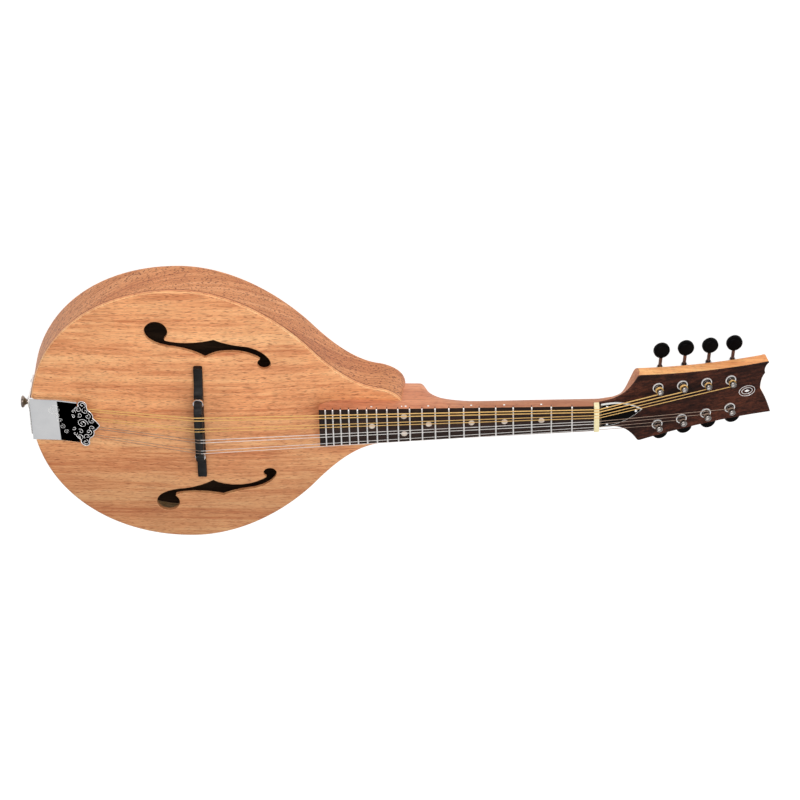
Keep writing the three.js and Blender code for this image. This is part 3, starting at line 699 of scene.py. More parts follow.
def wood(
    name,
    tones,
    rough=0.5,
    pores=0.5,
    figure=0.06,
    specular=0.3,
    follow_grain=True,
    painted_shade=None,
    flecks=(170, 1700),
):
    """Open-pore wood with ribbons, streaks and cross mottling along the X of its grain.

    tones are its light, middle, dark and pore colours.
    The shade entry (axis, from, to, share of the light that is left) paints shade into the colour,
    darker along an axis.
    flecks sets how many pores there are along and across the grain."""
    light, middle, dark, pore = (paint(*tone) for tone in tones)
    f = Finish(name)
    source = f.grain() if follow_grain else f.place()
    wander = f.between(f.noise(f.stretched(source, (5, 14, 14)), detail=2), -0.005, 0.005)
    sideways = f.add("ShaderNodeCombineXYZ", {"Y": wander, "Z": wander}).outputs[0]
    along = f.add("ShaderNodeVectorMath", {0: source, 1: sideways}, operation="ADD").outputs[0]
    ribbon = f.noise(f.stretched(along, (2.5, 48, 48)), detail=3)
    streak = f.noise(f.stretched(along, (13, 380, 380)), detail=5, rough=0.65)
    fibre = f.noise(f.stretched(along, (70, 1500, 1500)), detail=2)
    tone = f.math("ADD", f.math("MULTIPLY", ribbon, 0.4), f.math("MULTIPLY", streak, 0.42))
    tone = f.math("ADD", tone, f.math("MULTIPLY", fibre, 0.18))
    colour = f.ramp(tone, (0.39, dark), (0.5, middle), (0.6, light))
    mottle = f.noise(f.stretched(source, (62, 16, 16)), detail=2)
    shade = f.between(mottle, 1 - figure, 1 + figure, 0.3, 0.7)
    colour = f.dimmed(colour, shade)
    # Painted shade: the colour is dimmed along an axis of the object's place, standing in for light
    # that falls off.
    if painted_shade:
        axis, start, end, left = painted_shade
        spot = f.add("ShaderNodeSeparateXYZ", {0: f.place()}).outputs[axis]
        colour = f.dimmed(colour, f.between(spot, 1.0, left, start, end))
    holes = f.noise(f.stretched(along, (flecks[0], flecks[1], flecks[1])), detail=1)
    pits = f.between(holes, 0.0, 1.0, 0.57, 0.67)
    colour = f.mix(f.math("MULTIPLY", pits, pores), colour, pore)
    level = f.math("SUBTRACT", f.math("MULTIPLY", fibre, 0.4), pits)
    f.set(
        f.surface,
        {
            "Base Color": colour,
            "Roughness": f.between(streak, rough - 0.08, rough + 0.1),
            "Specular IOR Level": specular,
            "Normal": f.bump(level, 0.00012, 0.6),
        },
    )
    return f.material


def finish(name, tones, rough, metal=0.0, size=900, bump=0.15, specular=0.5, stretch=(1, 1, 1)):
    """A smooth finish whose colour, gloss and level drift with noise between its two tones."""
    base, second = (paint(*tone) for tone in tones)
    f = Finish(name)
    where = f.stretched(f.place(), stretch)
    cloud = f.noise(where, scale=size / 6, detail=3)
    fine = f.noise(where, scale=size, detail=2)
    f.set(
        f.surface,
        {
            "Base Color": f.ramp(cloud, (0.35, second), (0.65, base)),
            "Metallic": metal,
            "Roughness": f.between(fine, rough * 0.8, rough * 1.25, 0.3, 0.7),
            "Specular IOR Level": specular,
            "Normal": f.bump(fine, 0.00002, bump),
        },
    )
    return f.material


def wound(name, tones):
    """Fine wire wrapped round a string; the grain's X runs along the string."""
    light, dark = (paint(*tone) for tone in tones)
    f = Finish(name)
    wrap = f.add("ShaderNodeSeparateXYZ", {0: f.grain()}).outputs[0]
    wave = f.math("SINE", f.math("MULTIPLY", wrap, 2 * math.pi / (WIRE_WIDTH * MM)), 0.0)
    cloud = f.noise(f.place(), scale=300, detail=2)
    # Painted shade: once per turn of wire the colour goes up to 45% of the way to the dark tone, for
    # the grooves between turns.
    colour = f.mix(f.between(wave, 0.0, 0.45, -1.0, 1.0), light, dark)
    f.set(
        f.surface,
        {
            "Base Color": f.mix(f.math("MULTIPLY", cloud, 0.4), colour, dark),
            "Metallic": 0.5,
            "Roughness": f.between(cloud, 0.35, 0.48),
            "Normal": f.bump(wave, 0.00004, 0.6),
        },
    )
    return f.material


MAHOGANY = wood(
    "mahogany",
    ((248, 188, 133), (235, 164, 111), (206, 126, 80), (148, 80, 50)),
    pores=0.7,
    # Painted shade: the top darkens towards its treble edge, from Y 0 to -90 mm, to three quarters of
    # its light.
    painted_shade=(1, 0.0, -0.09, 0.74),
)
RIM_MAHOGANY = wood(
    "rim mahogany",
    ((226, 162, 114), (208, 138, 90), (176, 104, 66), (122, 66, 44)),
    rough=0.55,
    pores=1.0,
    flecks=(440, 950),
)
# Painted highlight: a paler wood for the top's rounded edges, where light catches them.
EDGE_HIGHLIGHT_WOOD = wood(
    "painted edge highlight",
    ((255, 212, 156), (248, 192, 136), (232, 168, 112), (180, 120, 78)),
    rough=0.45,
    pores=0.4,
)
NECK_MAHOGANY = wood(
    "neck mahogany",
    ((235, 166, 126), (214, 142, 104), (188, 114, 80), (136, 74, 52)),
    rough=0.55,
    # Painted shade: the shaft is darker than the heel, dimming between X 200 and 250 mm.
    painted_shade=(0, 0.2, 0.25, 0.7),
)
HEAD_MAHOGANY = wood(
    "headstock mahogany", ((255, 200, 134), (248, 176, 112), (230, 148, 88), (170, 96, 56)), rough=0.55
)
# Painted shade: the dark joint of rim and top, drawn as a band of shade below the top's edge.
SEAM_SHADE_WOOD = wood("seam line", ((176, 112, 76), (160, 96, 64), (136, 78, 52), (100, 56, 38)), rough=0.7)
# Painted shade: a dark wood for the faces inside the body, where little light falls.
SHADED_WOOD = wood(
    "painted shade inside the body",
    ((84, 60, 42), (68, 48, 33), (50, 34, 24), (34, 22, 15)),
    rough=0.85,
    pores=0.3,
)
INNER_WOOD = wood(
    "inner wood",
    ((226, 190, 142), (212, 172, 124), (186, 142, 98), (150, 110, 74)),
    rough=0.7,
    pores=0.3,
    follow_grain=False,
)
VENEER = wood(
    "rosewood veneer",
    ((92, 50, 36), (52, 28, 22), (22, 13, 12), (12, 8, 7)),
    pores=0.6,
    figure=0.04,
    specular=0.08,
)
BOARD_WOOD = wood(
    "fingerboard wood",
    ((62, 44, 38), (44, 32, 28), (28, 21, 20), (14, 10, 10)),
    pores=0.6,
    figure=0.03,
    specular=0.12,
)
EBONY = wood(
    "ebony",
    ((44, 42, 41), (32, 31, 31), (22, 21, 21), (12, 11, 11)),
    rough=0.42,
    figure=0.02,
    specular=0.15,
)
BONE = finish("bone", ((248, 236, 190), (238, 222, 168)), 0.35, size=600, bump=0.1)
PEARL = finish("pearl", ((226, 212, 198), (196, 178, 162)), 0.35, size=1500, bump=0.05)
WHITE = finish("white plastic", ((242, 242, 238), (228, 228, 224)), 0.35, size=700, bump=0.08)
FELT = finish("cream felt", ((238, 226, 196), (222, 206, 170)), 0.85, size=3000, bump=0.6, specular=0.2)
BLACK = finish("black plastic", ((12, 10, 10), (8, 7, 7)), 0.3, size=500, bump=0.02, specular=0.02)
SLOT_DARK = finish("slot filler", ((40, 26, 20), (24, 16, 14)), 0.7, size=1200, bump=0.2)
CHROME = finish("chrome", ((236, 236, 237), (224, 225, 227)), 0.035, metal=1.0, size=250, bump=0.02)
STEEL = finish(
    "steel", ((196, 196, 198), (178, 178, 181)), 0.3, metal=1.0, size=700, bump=0.1, stretch=(0.1, 1, 1)
)
PLAIN_STRING = finish("plain string", ((246, 242, 238), (230, 224, 220)), 0.4, metal=0.35, bump=0.05)
NICKEL = finish("fret wire", ((252, 250, 248), (238, 234, 232)), 0.3, metal=0.5, size=800, bump=0.08)
BRASS = finish("gear brass", ((206, 170, 96), (180, 142, 74)), 0.3, metal=1.0, size=700, bump=0.1)
SHAFT = finish("bronze shaft", ((128, 100, 92), (96, 74, 68)), 0.35, metal=0.7, size=800, bump=0.1)
BLACK_NICKEL = finish(
    "black nickel", ((70, 62, 60), (48, 42, 40)), 0.25, metal=1.0, size=600, bump=0.05
)
WINDING = wound("bronze winding", ((255, 216, 140), (230, 168, 92)))
POST_METAL = finish(
    "post metal", ((170, 164, 160), (140, 134, 130)), 0.07, metal=1.0, size=600, bump=0.05
)
# Painted shade: a darker colour for the plain strings past the nut and behind the bridge.
PAINTED_SHADE_STRING = finish(
    "shaded string steel", ((182, 156, 138), (150, 124, 108)), 0.4, metal=0.4, bump=0.05
)
WORN_METAL = finish(
    "worn nickel", ((170, 156, 146), (120, 106, 96)), 0.14, metal=1.0, size=400, bump=0.1
)


# ---- Pieces ----


def piece(name, shape, material, stands_for=(), body="root", grain=None, crease=35):
    """A shaded mesh of a shape, carried by a CAD body and standing for CAD nodes.

    grain holds a vector per point for the wood and winding finishes; it is the place if left out."""
    mesh = mesh_of(shape, name, MM)
    mesh.shade_smooth()
    mesh.set_sharp_from_angle(angle=math.radians(crease))
    mesh.materials.append(material)
    values = np.array(grain if grain is not None else [tuple(p) for p in shape.points], np.float32) * MM
    mesh.attributes.new("grain", "FLOAT_VECTOR", "POINT").data.foreach_set("vector", values.ravel())
    made = bpy.data.objects.new(name, mesh)
    bpy.context.scene.collection.objects.link(made)
    if body:
        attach(made, body)
    if stands_for:
        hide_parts(*stands_for)
    return made


# ---- Body ----


def refinish(made, material, chosen):
    """Gives the faces that a test picks another finish."""
    made.data.materials.append(material)
    for face in made.data.polygons:
        if chosen(face):
            face.material_index = len(made.data.materials) - 1


def top():
    """The carved top: painted shade below, painted highlight where its edges and holes are rounded."""

    def outside(x, y):
        return BODY_DEPTH + arch(x, y)

    def under(x, y):
        return RIM_TOP + arch(x, y)

    holes = [sound_hole(side) for _, side in SIDES]
    shape = plate(body_outline(), holes, EDGE_ROUND, HOLE_ROUND, 4.0, outside, under)
    made = piece("carved_top", shape, MAHOGANY, ["top_plate"])
    # Painted shade on the top's underside, seen through the holes.
    refinish(made, SHADED_WOOD, lambda face: face.normal.z < -0.5)
    # Painted highlight: the rounding's faces that tilt towards the light get the paler wood.
    refinish(made, EDGE_HIGHLIGHT_WOOD, lambda face: 0.4 < face.normal.z < 0.8)


def back():
    """The flat back: a plate made face up, then turned over."""
    shape = plate(body_outline(), [], EDGE_ROUND, 0, 8.0, lambda x, y: BACK_THICK, lambda x, y: 0)
    flipped = shape.moved(Matrix.Diagonal((1, 1, -1, 1))).at(z=BACK_THICK)
    made = piece("back_board", flipped, RIM_MAHOGANY, ["back_plate"])
    # Painted shade on the inner face of the back.
    refinish(made, SHADED_WOOD, lambda face: face.normal.z > 0.5)


def rim(name, side):
    """A bent side: its grain runs round the body, with painted shade along its seam and on its inside.
    """
    outer, inner = half_body(), half_body(RIM_THICK)
    walls, grain = [], []
    travelled = 0
    for i, (out, within) in enumerate(zip(outer, inner)):
        travelled += math.dist(out, outer[i - 1]) if i else 0
        rows = [(out, z) for z in (BACK_THICK, SEAM_Z, RIM_TOP)]
        rows += [(within, z) for z in (RIM_TOP, BACK_THICK)]
        walls.append([(p[0], side * p[1], z) for p, z in rows])
        grain += [(travelled, z + 0.3 * travelled, side * 20) for _, z in rows]
    wall = loft(walls)
    made = piece(f"side_{name}", wall, RIM_MAHOGANY, [f"rim_{name}"], grain=grain)
    # Painted shade: the band below the top's edge and the inner wall get darker wood.
    for strip, material in ((1, SEAM_SHADE_WOOD), (3, SHADED_WOOD)):
        refinish(made, material, lambda f: len(f.vertices) == 4 and f.index % len(rows) == strip)


def inside_wood():
    for name in ("tail_block", "neck_block", "top_lining", "back_lining"):
        dress_cad(name, INNER_WOOD)
    for name, _ in SIDES:
        dress_cad(f"tone_bar_{name}", INNER_WOOD)


def dress_cad(name, material):
    """Gives a CAD node that stays on show its finish."""
    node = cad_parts[name]
    node.data.materials.clear()
    node.data.materials.append(material)


# ---- Neck ----

HEEL_START = BODY_END_X - 6  # the heel is let into the end of the body
NECK_END_X = HEAD_X + 22  # the shaft runs out inside the headstock
NECK_UNDERSIDE = (
    (HEEL_START, -0.4),
    (194, -0.4),
    (197, 2.5),
    (199, 7),
    (202, 13.5),
    (207, 19),
    (214, 23.5),
    (224, 26.0),
    (240, board_z(240) - NECK_DEPTH),
    (295, board_z(295) - NECK_DEPTH),
    (SCALE, board_z(SCALE) - NECK_DEPTH),
    (HEAD_X, 20.9),
    (HEAD_X + 10, 20.3),
    (NECK_END_X, 18.6),
)
NECK_TOPSIDE = ((HEAD_X - 1, neck_top(HEAD_X - 1)), (HEAD_X + 10, 32), (NECK_END_X, 28))
NECK_SQUARENESS = (
    (HEEL_START, 3.4),
    (194, 3.4),
    (202, 2.8),
    (214, 2.3),
    (224, 2),
    (240, 1.8),
    (SCALE, 1.8),
)
LIFT_OVER_TOP = ((BOARD_END_X, 8), (107, 5.2), (111, 3), (117, 1.1), (124, 0.3), (182, 0.3))


def neck_section(x, steps=40):
    """One section of the neck: flat on top, with more or less square shoulders below."""
    upper = neck_top(x) if x < HEAD_X - 1 else smooth(NECK_TOPSIDE, x)
    lower = smooth(NECK_UNDERSIDE, x)
    square = smooth(NECK_SQUARENESS, x)
    section = []
    for i in range(steps + 1):
        angle = math.pi * i / steps
        across = math.copysign(abs(math.cos(angle)) ** (2 / square), math.cos(angle))
        down = math.sin(angle) ** (2 / square)
        y = board_half(x) * across * (1 - 0.18 * down * max(0, square - 2))
        section.append((x, y, upper - (upper - lower) * down))
    return section


def shaft_and_heel():
    heel = list(np.arange(HEEL_START, 226, 1.0))
    shaft = list(np.arange(230, NECK_END_X, 4.0)) + [NECK_END_X]
    return loft([neck_section(x) for x in heel + shaft])


def board_support():
    """The wood that carries the fingerboard over the top."""
    sections = []
    for x in np.linspace(BOARD_END_X + 0.3, 182, 60):
        half = board_half(x)
        high = neck_top(x)
        low = min(high - 0.6, BODY_DEPTH + arch(x, 0) + smooth(LIFT_OVER_TOP, x))
        sections.append([(x, -half, high), (x, -half, low), (x, half, low), (x, half, high)])
    return loft(sections)


def post_holes(radius):
    """Rods where the posts pass through the headstock."""
    holes = Shape()
    for _, side in SIDES:
        for i in range(POSTS):
            holes += rod(radius, -30, 20).at(x=i * POST_STEP).moved(tuner_side(side))
    return holes


def rod_pocket():
    """The room for the truss rod's nut."""
    return box((-1, -4.6, -8.6), (17, 4.6, 20), 0).moved(IN_HEAD)


def head_wood():
    """The wood under the headstock veneer; near the nut its flanks are carved round like the shaft."""
    rows = [(1.2, -HEAD_THICK), (0.4, -HEAD_THICK + 0.3), (0, -HEAD_THICK + 1.2)]
    rows += [(0, z) for z in (-10.5, -8.5, -6.5, -4.5, -3, -VENEER_THICK)]
    shape = stack(head_outline(), rows)
    for point in shape.points:
        deep = (-VENEER_THICK - point.z) / (HEAD_THICK - VENEER_THICK)
        near = min(1, max(0, (HEAD_FLARE - point.x) / 14))
        point.y *= 1 - 0.5 * (3 * near**2 - 2 * near**3) * deep**1.2
    return shape.moved(IN_HEAD)


def neck_wood():
    """Shaft, heel, fingerboard support and headstock: one piece of wood."""
    wood_shape = boolean(shaft_and_heel(), board_support(), "UNION")
    wood_shape = boolean(wood_shape, head_wood(), "UNION")
    nut_shelf = box((-0.5, -20, -BOARD_THICK), (NUT_LONG, 20, 10), 0).moved(IN_NECK)
    under_veneer = box((0, -40, -VENEER_THICK), (60, 40, 20), 0).moved(IN_HEAD)
    rod_slot = box((-162, -2.8, -ROD_DEPTH - 2.8), (7, 2.8, 0), 0).moved(IN_NECK)
    for tool in (nut_shelf, under_veneer, rod_slot, rod_pocket(), post_holes(POST_R + 0.4)):
        wood_shape = boolean(wood_shape, tool)
    made = piece("neck_wood", wood_shape, NECK_MAHOGANY, ["neck"])
    refinish(made, HEAD_MAHOGANY, lambda face: face.center.x > (HEAD_X + HEAD_FLARE) * MM)


def head_veneer():
    """The dark sheet on the headstock's face."""
    rows = ((0, -VENEER_THICK), (0, -0.25), (0.25, 0))
    sheet = stack(head_outline(), rows).moved(IN_HEAD)
    nut_end = box((-9, -20, -30), (NUT_LONG + 0.1, 20, 10), 0).moved(IN_NECK)
    for tool in (nut_end, rod_pocket(), post_holes(POST_R + 0.4)):
        sheet = boolean(sheet, tool)
    piece("veneer_sheet", sheet, VENEER, ["headstock_veneer"])


def head_inlay():
    """A plain oval ring with a small diamond in it, let into the veneer above the posts."""
    band = Shape()
    turns = [2 * math.pi * i / 40 for i in range(41)]
    for across, along in ((5.6, 7.4), (3.4, 5.0)):
        band += sweep([(138 + along * math.cos(a), across * math.sin(a), -0.1) for a in turns], 0.34, 8)
    diamond = [(140.6, 0), (138, 1.5), (135.4, 0), (138, -1.5)]
    band += stack(diamond, ((0, -0.3), (0, 0.05), (0.3, 0.15)))
    piece("head_inlay", band.moved(IN_HEAD), NICKEL)


def board_strip(low_half, high_half, low, high):
    """A strip along the fingerboard between two distances from its edge."""
    ends = (BOARD_END_X - SCALE, -0.1)
    inner = [(x, board_half(SCALE + x) - low_half) for x in ends]
    outer = [(x, board_half(SCALE + x) - high_half) for x in reversed(ends)]
    return prism(inner + outer, low, high)


def fingerboard():
    ends = (BOARD_END_X - SCALE, -0.1)
    plan = [(x, board_half(SCALE + x) - BINDING) for x in ends]
    core = prism(both_halves(plan), -BOARD_THICK, 0).moved(IN_NECK)
    piece("board_core", core, BOARD_WOOD, ["fingerboard"])
    for name, side in SIDES:
        strip = rounded(board_strip(BINDING, 0, -BOARD_THICK, -0.05), 0.15)
        strip = strip.moved(IN_NECK @ Matrix.Diagonal((1, side, 1, 1)))
        piece(f"board_edge_{name}", strip, NECK_MAHOGANY)


def fret(n):
    """A fret wire with a round crown and bevelled ends."""
    x = fret_x(n)
    half = board_half(SCALE + x) - 0.1
    sections = []
    for y, share in ((-half, 0.35), (-half + 0.7, 1), (half - 0.7, 1), (half, 0.35)):
        crown = []
        for i in range(9):
            angle = math.pi * i / 8
            crown.append((x + FRET_HALF * math.cos(angle), y, share * math.sin(angle) ** 0.8 + 0.02))
        sections.append([(x + FRET_HALF, y, -0.3), *crown, (x - FRET_HALF, y, -0.3)])
    piece(f"fret_{n:02d}", loft(sections).moved(IN_NECK), NICKEL)


def fret_slots():
    """The dark ends of the fret slots in the board's edge."""
    ends = Shape()
    for n in range(1, FRETS + 1):
        x = fret_x(n)
        half = board_half(SCALE + x)
        for side in (1, -1):
            low, high = sorted((side * (half - 0.4), side * (half + 0.04)))
            ends += box((x - 0.35, low, -2.4), (x + 0.35, high, -0.12), 0.03)
    piece("fret_slot_ends", ends.moved(IN_NECK), SLOT_DARK)


def dots():
    """Pearl position dots in the board and white ones in its bass edge."""
    face, edge = Shape(), Shape()
    for n in DOT_FRETS:
        x = (fret_x(n) + fret_x(n - 1)) / 2
        for y in (-9.8, 9.8) if n == 12 else (0,):
            face += lathe([(2.6, -1), (2.75, -0.2), (2.75, 0.03), (2.4, 0.06)], 28).at(x, y)
        for shift in (-1.9, 1.9) if n == 12 else (0,):
            y = board_half(SCALE + x) - 0.4
            disc = lathe([(0.95, 0), (0.95, 0.42), (0.8, 0.46)], 18)
            edge += disc.moved(Matrix.Rotation(-math.pi / 2, 4, "X")).at(x + shift, y, -3.6)
    piece("position_dots", face.moved(IN_NECK), PEARL)
    piece("side_dots", edge.moved(IN_NECK), WHITE)


def string_rods(radius_share, places, z, low, high):
    """Bars where the strings pass, for cutting their grooves."""
    bars = Shape()
    for (_, radius, *_), y in zip(STRINGS, places):
        bar = rod(radius * radius_share, low, high, 12).moved(Z_TO_X)
        bars += bar.at(0, y, z + radius + 0.08)
    return bars


def string_nut():
    """The nut; its crown stands higher than the floor of the string grooves."""
    crown = NUT_TOP + 0.55
    block = box((0, -BOARD_HALF_NUT, -BOARD_THICK), (NUT_LONG, BOARD_HALF_NUT, crown), 0)
    grooves = string_rods(1.15, [string[3] for string in STRINGS], NUT_TOP, -3, 9)
    shape = boolean(rounded(block, 0.45, 3), grooves)
    piece("nut_block", shape.moved(IN_NECK), BONE, ["nut"])


def rod_cover():
    """A white sheet under a black one that leaves its edge in sight."""
    half = [(1.2, 12.6)]
    half += curve([half[-1], (16, 13.8), (28, 9.6), (39.6, 0)], 24)
    outline = both_halves(half)
    base = stack(outline, ((0, 0.02), (0, 1.2), (0.8, 1.7)))
    face = stack(outline, ((0.85, 1.6), (0.85, 1.75), (1.05, 2.05)))
    for point in face.points:
        point.x = 1.1 if point.x < 3 else point.x
    piece("rod_cover_base", base.moved(IN_HEAD), WHITE, ["truss_rod_cover"])
    piece("rod_cover_face", face.moved(IN_HEAD), BLACK)
    for number, (u, v) in enumerate(((6.5, 9.6), (6.5, -9.6), (33.2, 0)), 1):
        head = screw_head(1.5, 0.8).at(u, v, 2.0)
        piece(f"rod_cover_screw_{number}", head.moved(IN_HEAD), CHROME)


def rod_nut():
    """The hollow nut turns on the end of the truss rod."""
    hexagon = [(3.5 * math.cos(a * math.pi / 3), 3.5 * math.sin(a * math.pi / 3)) for a in range(6)]
    shape = boolean(rounded(prism(hexagon, 7, 15), 0.35), rod(2.6, 0, 20))
    shape = shape.moved(Z_TO_X).at(z=-ROD_DEPTH).moved(IN_NECK)
    piece("rod_nut_hex", shape, STEEL, ["truss_rod_nut"], "rod_nut")
    dress_cad("truss_rod", STEEL)


# ---- Tuners ----


def tuner_plate(name, side):
    """The long plate under the headstock, with two bearing ears for every worm."""
    high = -HEAD_THICK - 0.1
    low = high - 1.2
    shape = prism(round_corners((-9, -7.5), (3 * POST_STEP + 16, 9), 3), low, high)
    holes, ears = Shape(), Shape()
    for i in range(POSTS):
        x = i * POST_STEP + WORM_OFFSET
        ear = [(x + 3, low + 0.3), (x - 3, low + 0.3), (x - 3, -WORM_DEPTH)]
        ear += arc((x, -WORM_DEPTH), 3, 1, 2, 10)
        for y in (-5.9, 7.1):
            flat = prism(ear, -0.6, 0.6).moved(Matrix.Rotation(math.pi / 2, 4, "X"))
            ears += boolean(flat, shaft_line(SHAFT_R + 0.15, -9, 9).at(x, 0, -WORM_DEPTH)).at(y=y)
        holes += rod(POST_R + 0.4, -30, 0).at(x=i * POST_STEP)
    shape = boolean(rounded(shape, 0.25), holes) + ears
    flip = Matrix.Diagonal((1, side, 1, 1))
    shape = shape.moved(tuner_side(side) @ flip)
    piece(f"tuner_rail_{name}", shape, STEEL, [f"tuner_plate_{name}"])
    heads = Shape()
    master = screw_head(1.9, 1.0).moved(Matrix.Rotation(math.pi, 4, "X"))
    for i in range(POSTS + 1):
        back = 9 if i == POSTS else 6
        heads += master.at(i * POST_STEP - back, 4.5, low)
    piece(f"rail_screws_{name}", heads.moved(tuner_side(side) @ flip), STEEL)


def shaft_line(radius, low, high):
    """A rod along Y."""
    return rod(radius, low, high).moved(Matrix.Rotation(-math.pi / 2, 4, "X"))


def gear():
    """A spur wheel on Z with tapered teeth."""
    outline = []
    for tooth in range(GEAR_TEETH):
        for share, depth in ((-0.27, 1.1), (-0.13, 0), (0.13, 0), (0.27, 1.1)):
            angle = 2 * math.pi * (tooth + share) / GEAR_TEETH
            radius = GEAR_R - depth
            outline.append((radius * math.cos(angle), radius * math.sin(angle)))
    rows = ((0.2, -2), (0, -1.7), (0, 1.7), (0.2, 2))
    return stack(outline, [(inward, -WORM_DEPTH + z) for inward, z in rows])


def post_stem():
    """The post, waisted where the string winds on it, with a cross hole above that."""
    profile = [
        (2.4, -WORM_DEPTH - 2.4),
        (3, -WORM_DEPTH + 2),
        (3, 3.2),
        (2.65, 3.8),
        (2.65, 6.3),
        (3, 6.9),
        (3, 8.2),
        (2.8, 8.8),
        (2.2, 9.25),
        (1.2, 9.47),
        (0.2, 9.5),
    ]
    hole = shaft_line(0.75, -5, 5).at(z=7.4)
    return boolean(lathe(profile, 28), hole)


def ferrule():
    """A washer with a round lip, and a dark ring inside it as painted shade in the hole."""
    lip = [(3.95, 0.02), (5.05, 0.02), (5.1, 0.5), (4.9, 0.95), (4.5, 1.1), (4.1, 0.95), (3.95, 0.6)]
    well = [(3.15, 0.02), (3.96, 0.02), (3.96, 0.3), (3.5, 0.35), (3.15, 0.6)]
    return lathe(lip, 36, closed=True), lathe(well, 36, closed=True)


def button_shape(side):
    """A round button, its flat sides parallel to the headstock, with a hub on its shaft."""
    half = 3.3
    profile = [
        (0.3, -half),
        (5.0, -half),
        (6.2, -half + 0.25),
        (7.0, -half + 0.9),
        (BUTTON_R, -half + 1.9),
        (BUTTON_R, half - 2.2),
        (7.1, half - 1.2),
        (6.0, half - 0.15),
        (5.6, half),
        (4.6, half - 0.12),
        (0.3, half - 0.3),
    ]
    disc = lathe(profile, 40).at(WORM_OFFSET, side * BUTTON_OUT, -WORM_DEPTH)
    reach = BUTTON_OUT - BUTTON_R
    hub = lathe([(1.7, reach - 0.3), (2.1, reach), (2.3, reach + 1.5), (2.0, reach + 3)], 24)
    outward = Matrix.Rotation(-side * math.pi / 2, 4, "X")
    return disc + hub.moved(outward).at(WORM_OFFSET, 0, -WORM_DEPTH)


def worm_shape(side):
    """The worm and its shaft; the thread is right-handed whichever way the shaft points."""
    turn = Matrix.Rotation(-side * math.pi / 2, 4, "X")
    end = BUTTON_OUT - BUTTON_R
    shaft = lathe([(1.3, -7.4), (SHAFT_R, -7), (SHAFT_R, -4.6)], 20)
    shaft += lathe([(SHAFT_R, 4.6), (SHAFT_R, end)], 20)
    thread = screw_thread(1.5, 2.1, 1.9, -4.7, 4.7)
    return [part.moved(turn).at(WORM_OFFSET, 0, -WORM_DEPTH) for part in (shaft + thread, collar())]


def collar():
    """The ring outside the outer ear."""
    return lathe([(1.7, 7.9), (2.2, 7.9), (2.2, 9.0), (2.0, 9.3), (1.7, 9.3)], 24)


def tuners():
    """Both plates, and a post, worm and button at each of the eight places."""
    stem, wheel, (lip, well) = post_stem(), gear(), ferrule()
    screw = screw_head(1.8, 0.7).moved(Matrix.Rotation(math.pi, 4, "X")).at(z=-WORM_DEPTH - 2.3)
    for name, side in SIDES:
        tuner_plate(name, side)
        shaft, ring_on_shaft = worm_shape(side)
        knob = button_shape(side)
        # Name, shape, finish, slot, moving body and the CAD node that it stands for.
        parts = (
            ("post_stem", stem, POST_METAL, "chrome", "post", "tuner_post"),
            ("post_gear", wheel, BRASS, "chrome", "post", None),
            ("gear_screw", screw, STEEL, "steel", "post", None),
            ("worm_shaft", shaft, SHAFT, "black_metal", "worm", "tuner_worm"),
            ("shaft_collar", ring_on_shaft, BLACK_NICKEL, "black_metal", "worm", None),
            ("knob", knob, BLACK, "black_plastic", "worm", "tuner_button"),
            ("ferrule", lip, NICKEL, "chrome", None, None),
            # A dark ring as painted shade in the hole round the post.
            ("ferrule_shade_well", well, BLACK_NICKEL, "black_metal", None, None),
        )
        for i in range(POSTS):
            label = f"{name}_{i + 1}"
            here = tuner_side(side) @ Matrix.Translation((i * POST_STEP, 0, 0))
            for kind, shape, material, slot, mover, node in parts:
                body = f"{mover}_{label}" if mover else "root"
                nodes = [f"{node}_{label}"] if node else ()
                piece(f"{kind}_{label}", shape.moved(here), material, nodes, body)


# ---- Bridge ----


def cross_bar(stations, corner=0.7):
    """A bar along Y with rounded corners, from (y, half width, bottom, top) stations."""
    sections = []
    for y, half, low, high in stations:
        soft = min(corner, half * 0.9, (high - low) * 0.45)
        outline = round_corners((-half, low), (half, high), soft, 3)
        sections.append([(x, y, z) for x, z in outline])
    return loft(sections)


def bridge_base():
    """The foot: its underside follows the arch and its ends run out into low wings."""
    wings = ((0, 56), (36.2, 56), (37.6, 54.2), (40, 52.4), (43.5, 51.1), (47.5, 50.6))
    wings += ((BASE_HALF, 50.4),)
    bevel = 0.4
    places = np.linspace(-BASE_HALF + bevel, BASE_HALF - bevel, 90)
    stations = []
    for y in (-BASE_HALF, *places, BASE_HALF):
        end = bevel if abs(y) == BASE_HALF else 0
        low = BODY_DEPTH + arch(BRIDGE_X, y) + 0.05
        stations.append((y, 4 - end, low, smooth(wings, abs(y)) - end))
    shape = cross_bar(stations)
    for _, side in SIDES:
        shape = boolean(shape, rod(STUD_R + 0.1, 50.5, 90).at(y=side * WHEEL_Y))
    piece("bridge_foot", shape.moved(IN_BRIDGE), EBONY, ["bridge_base"])


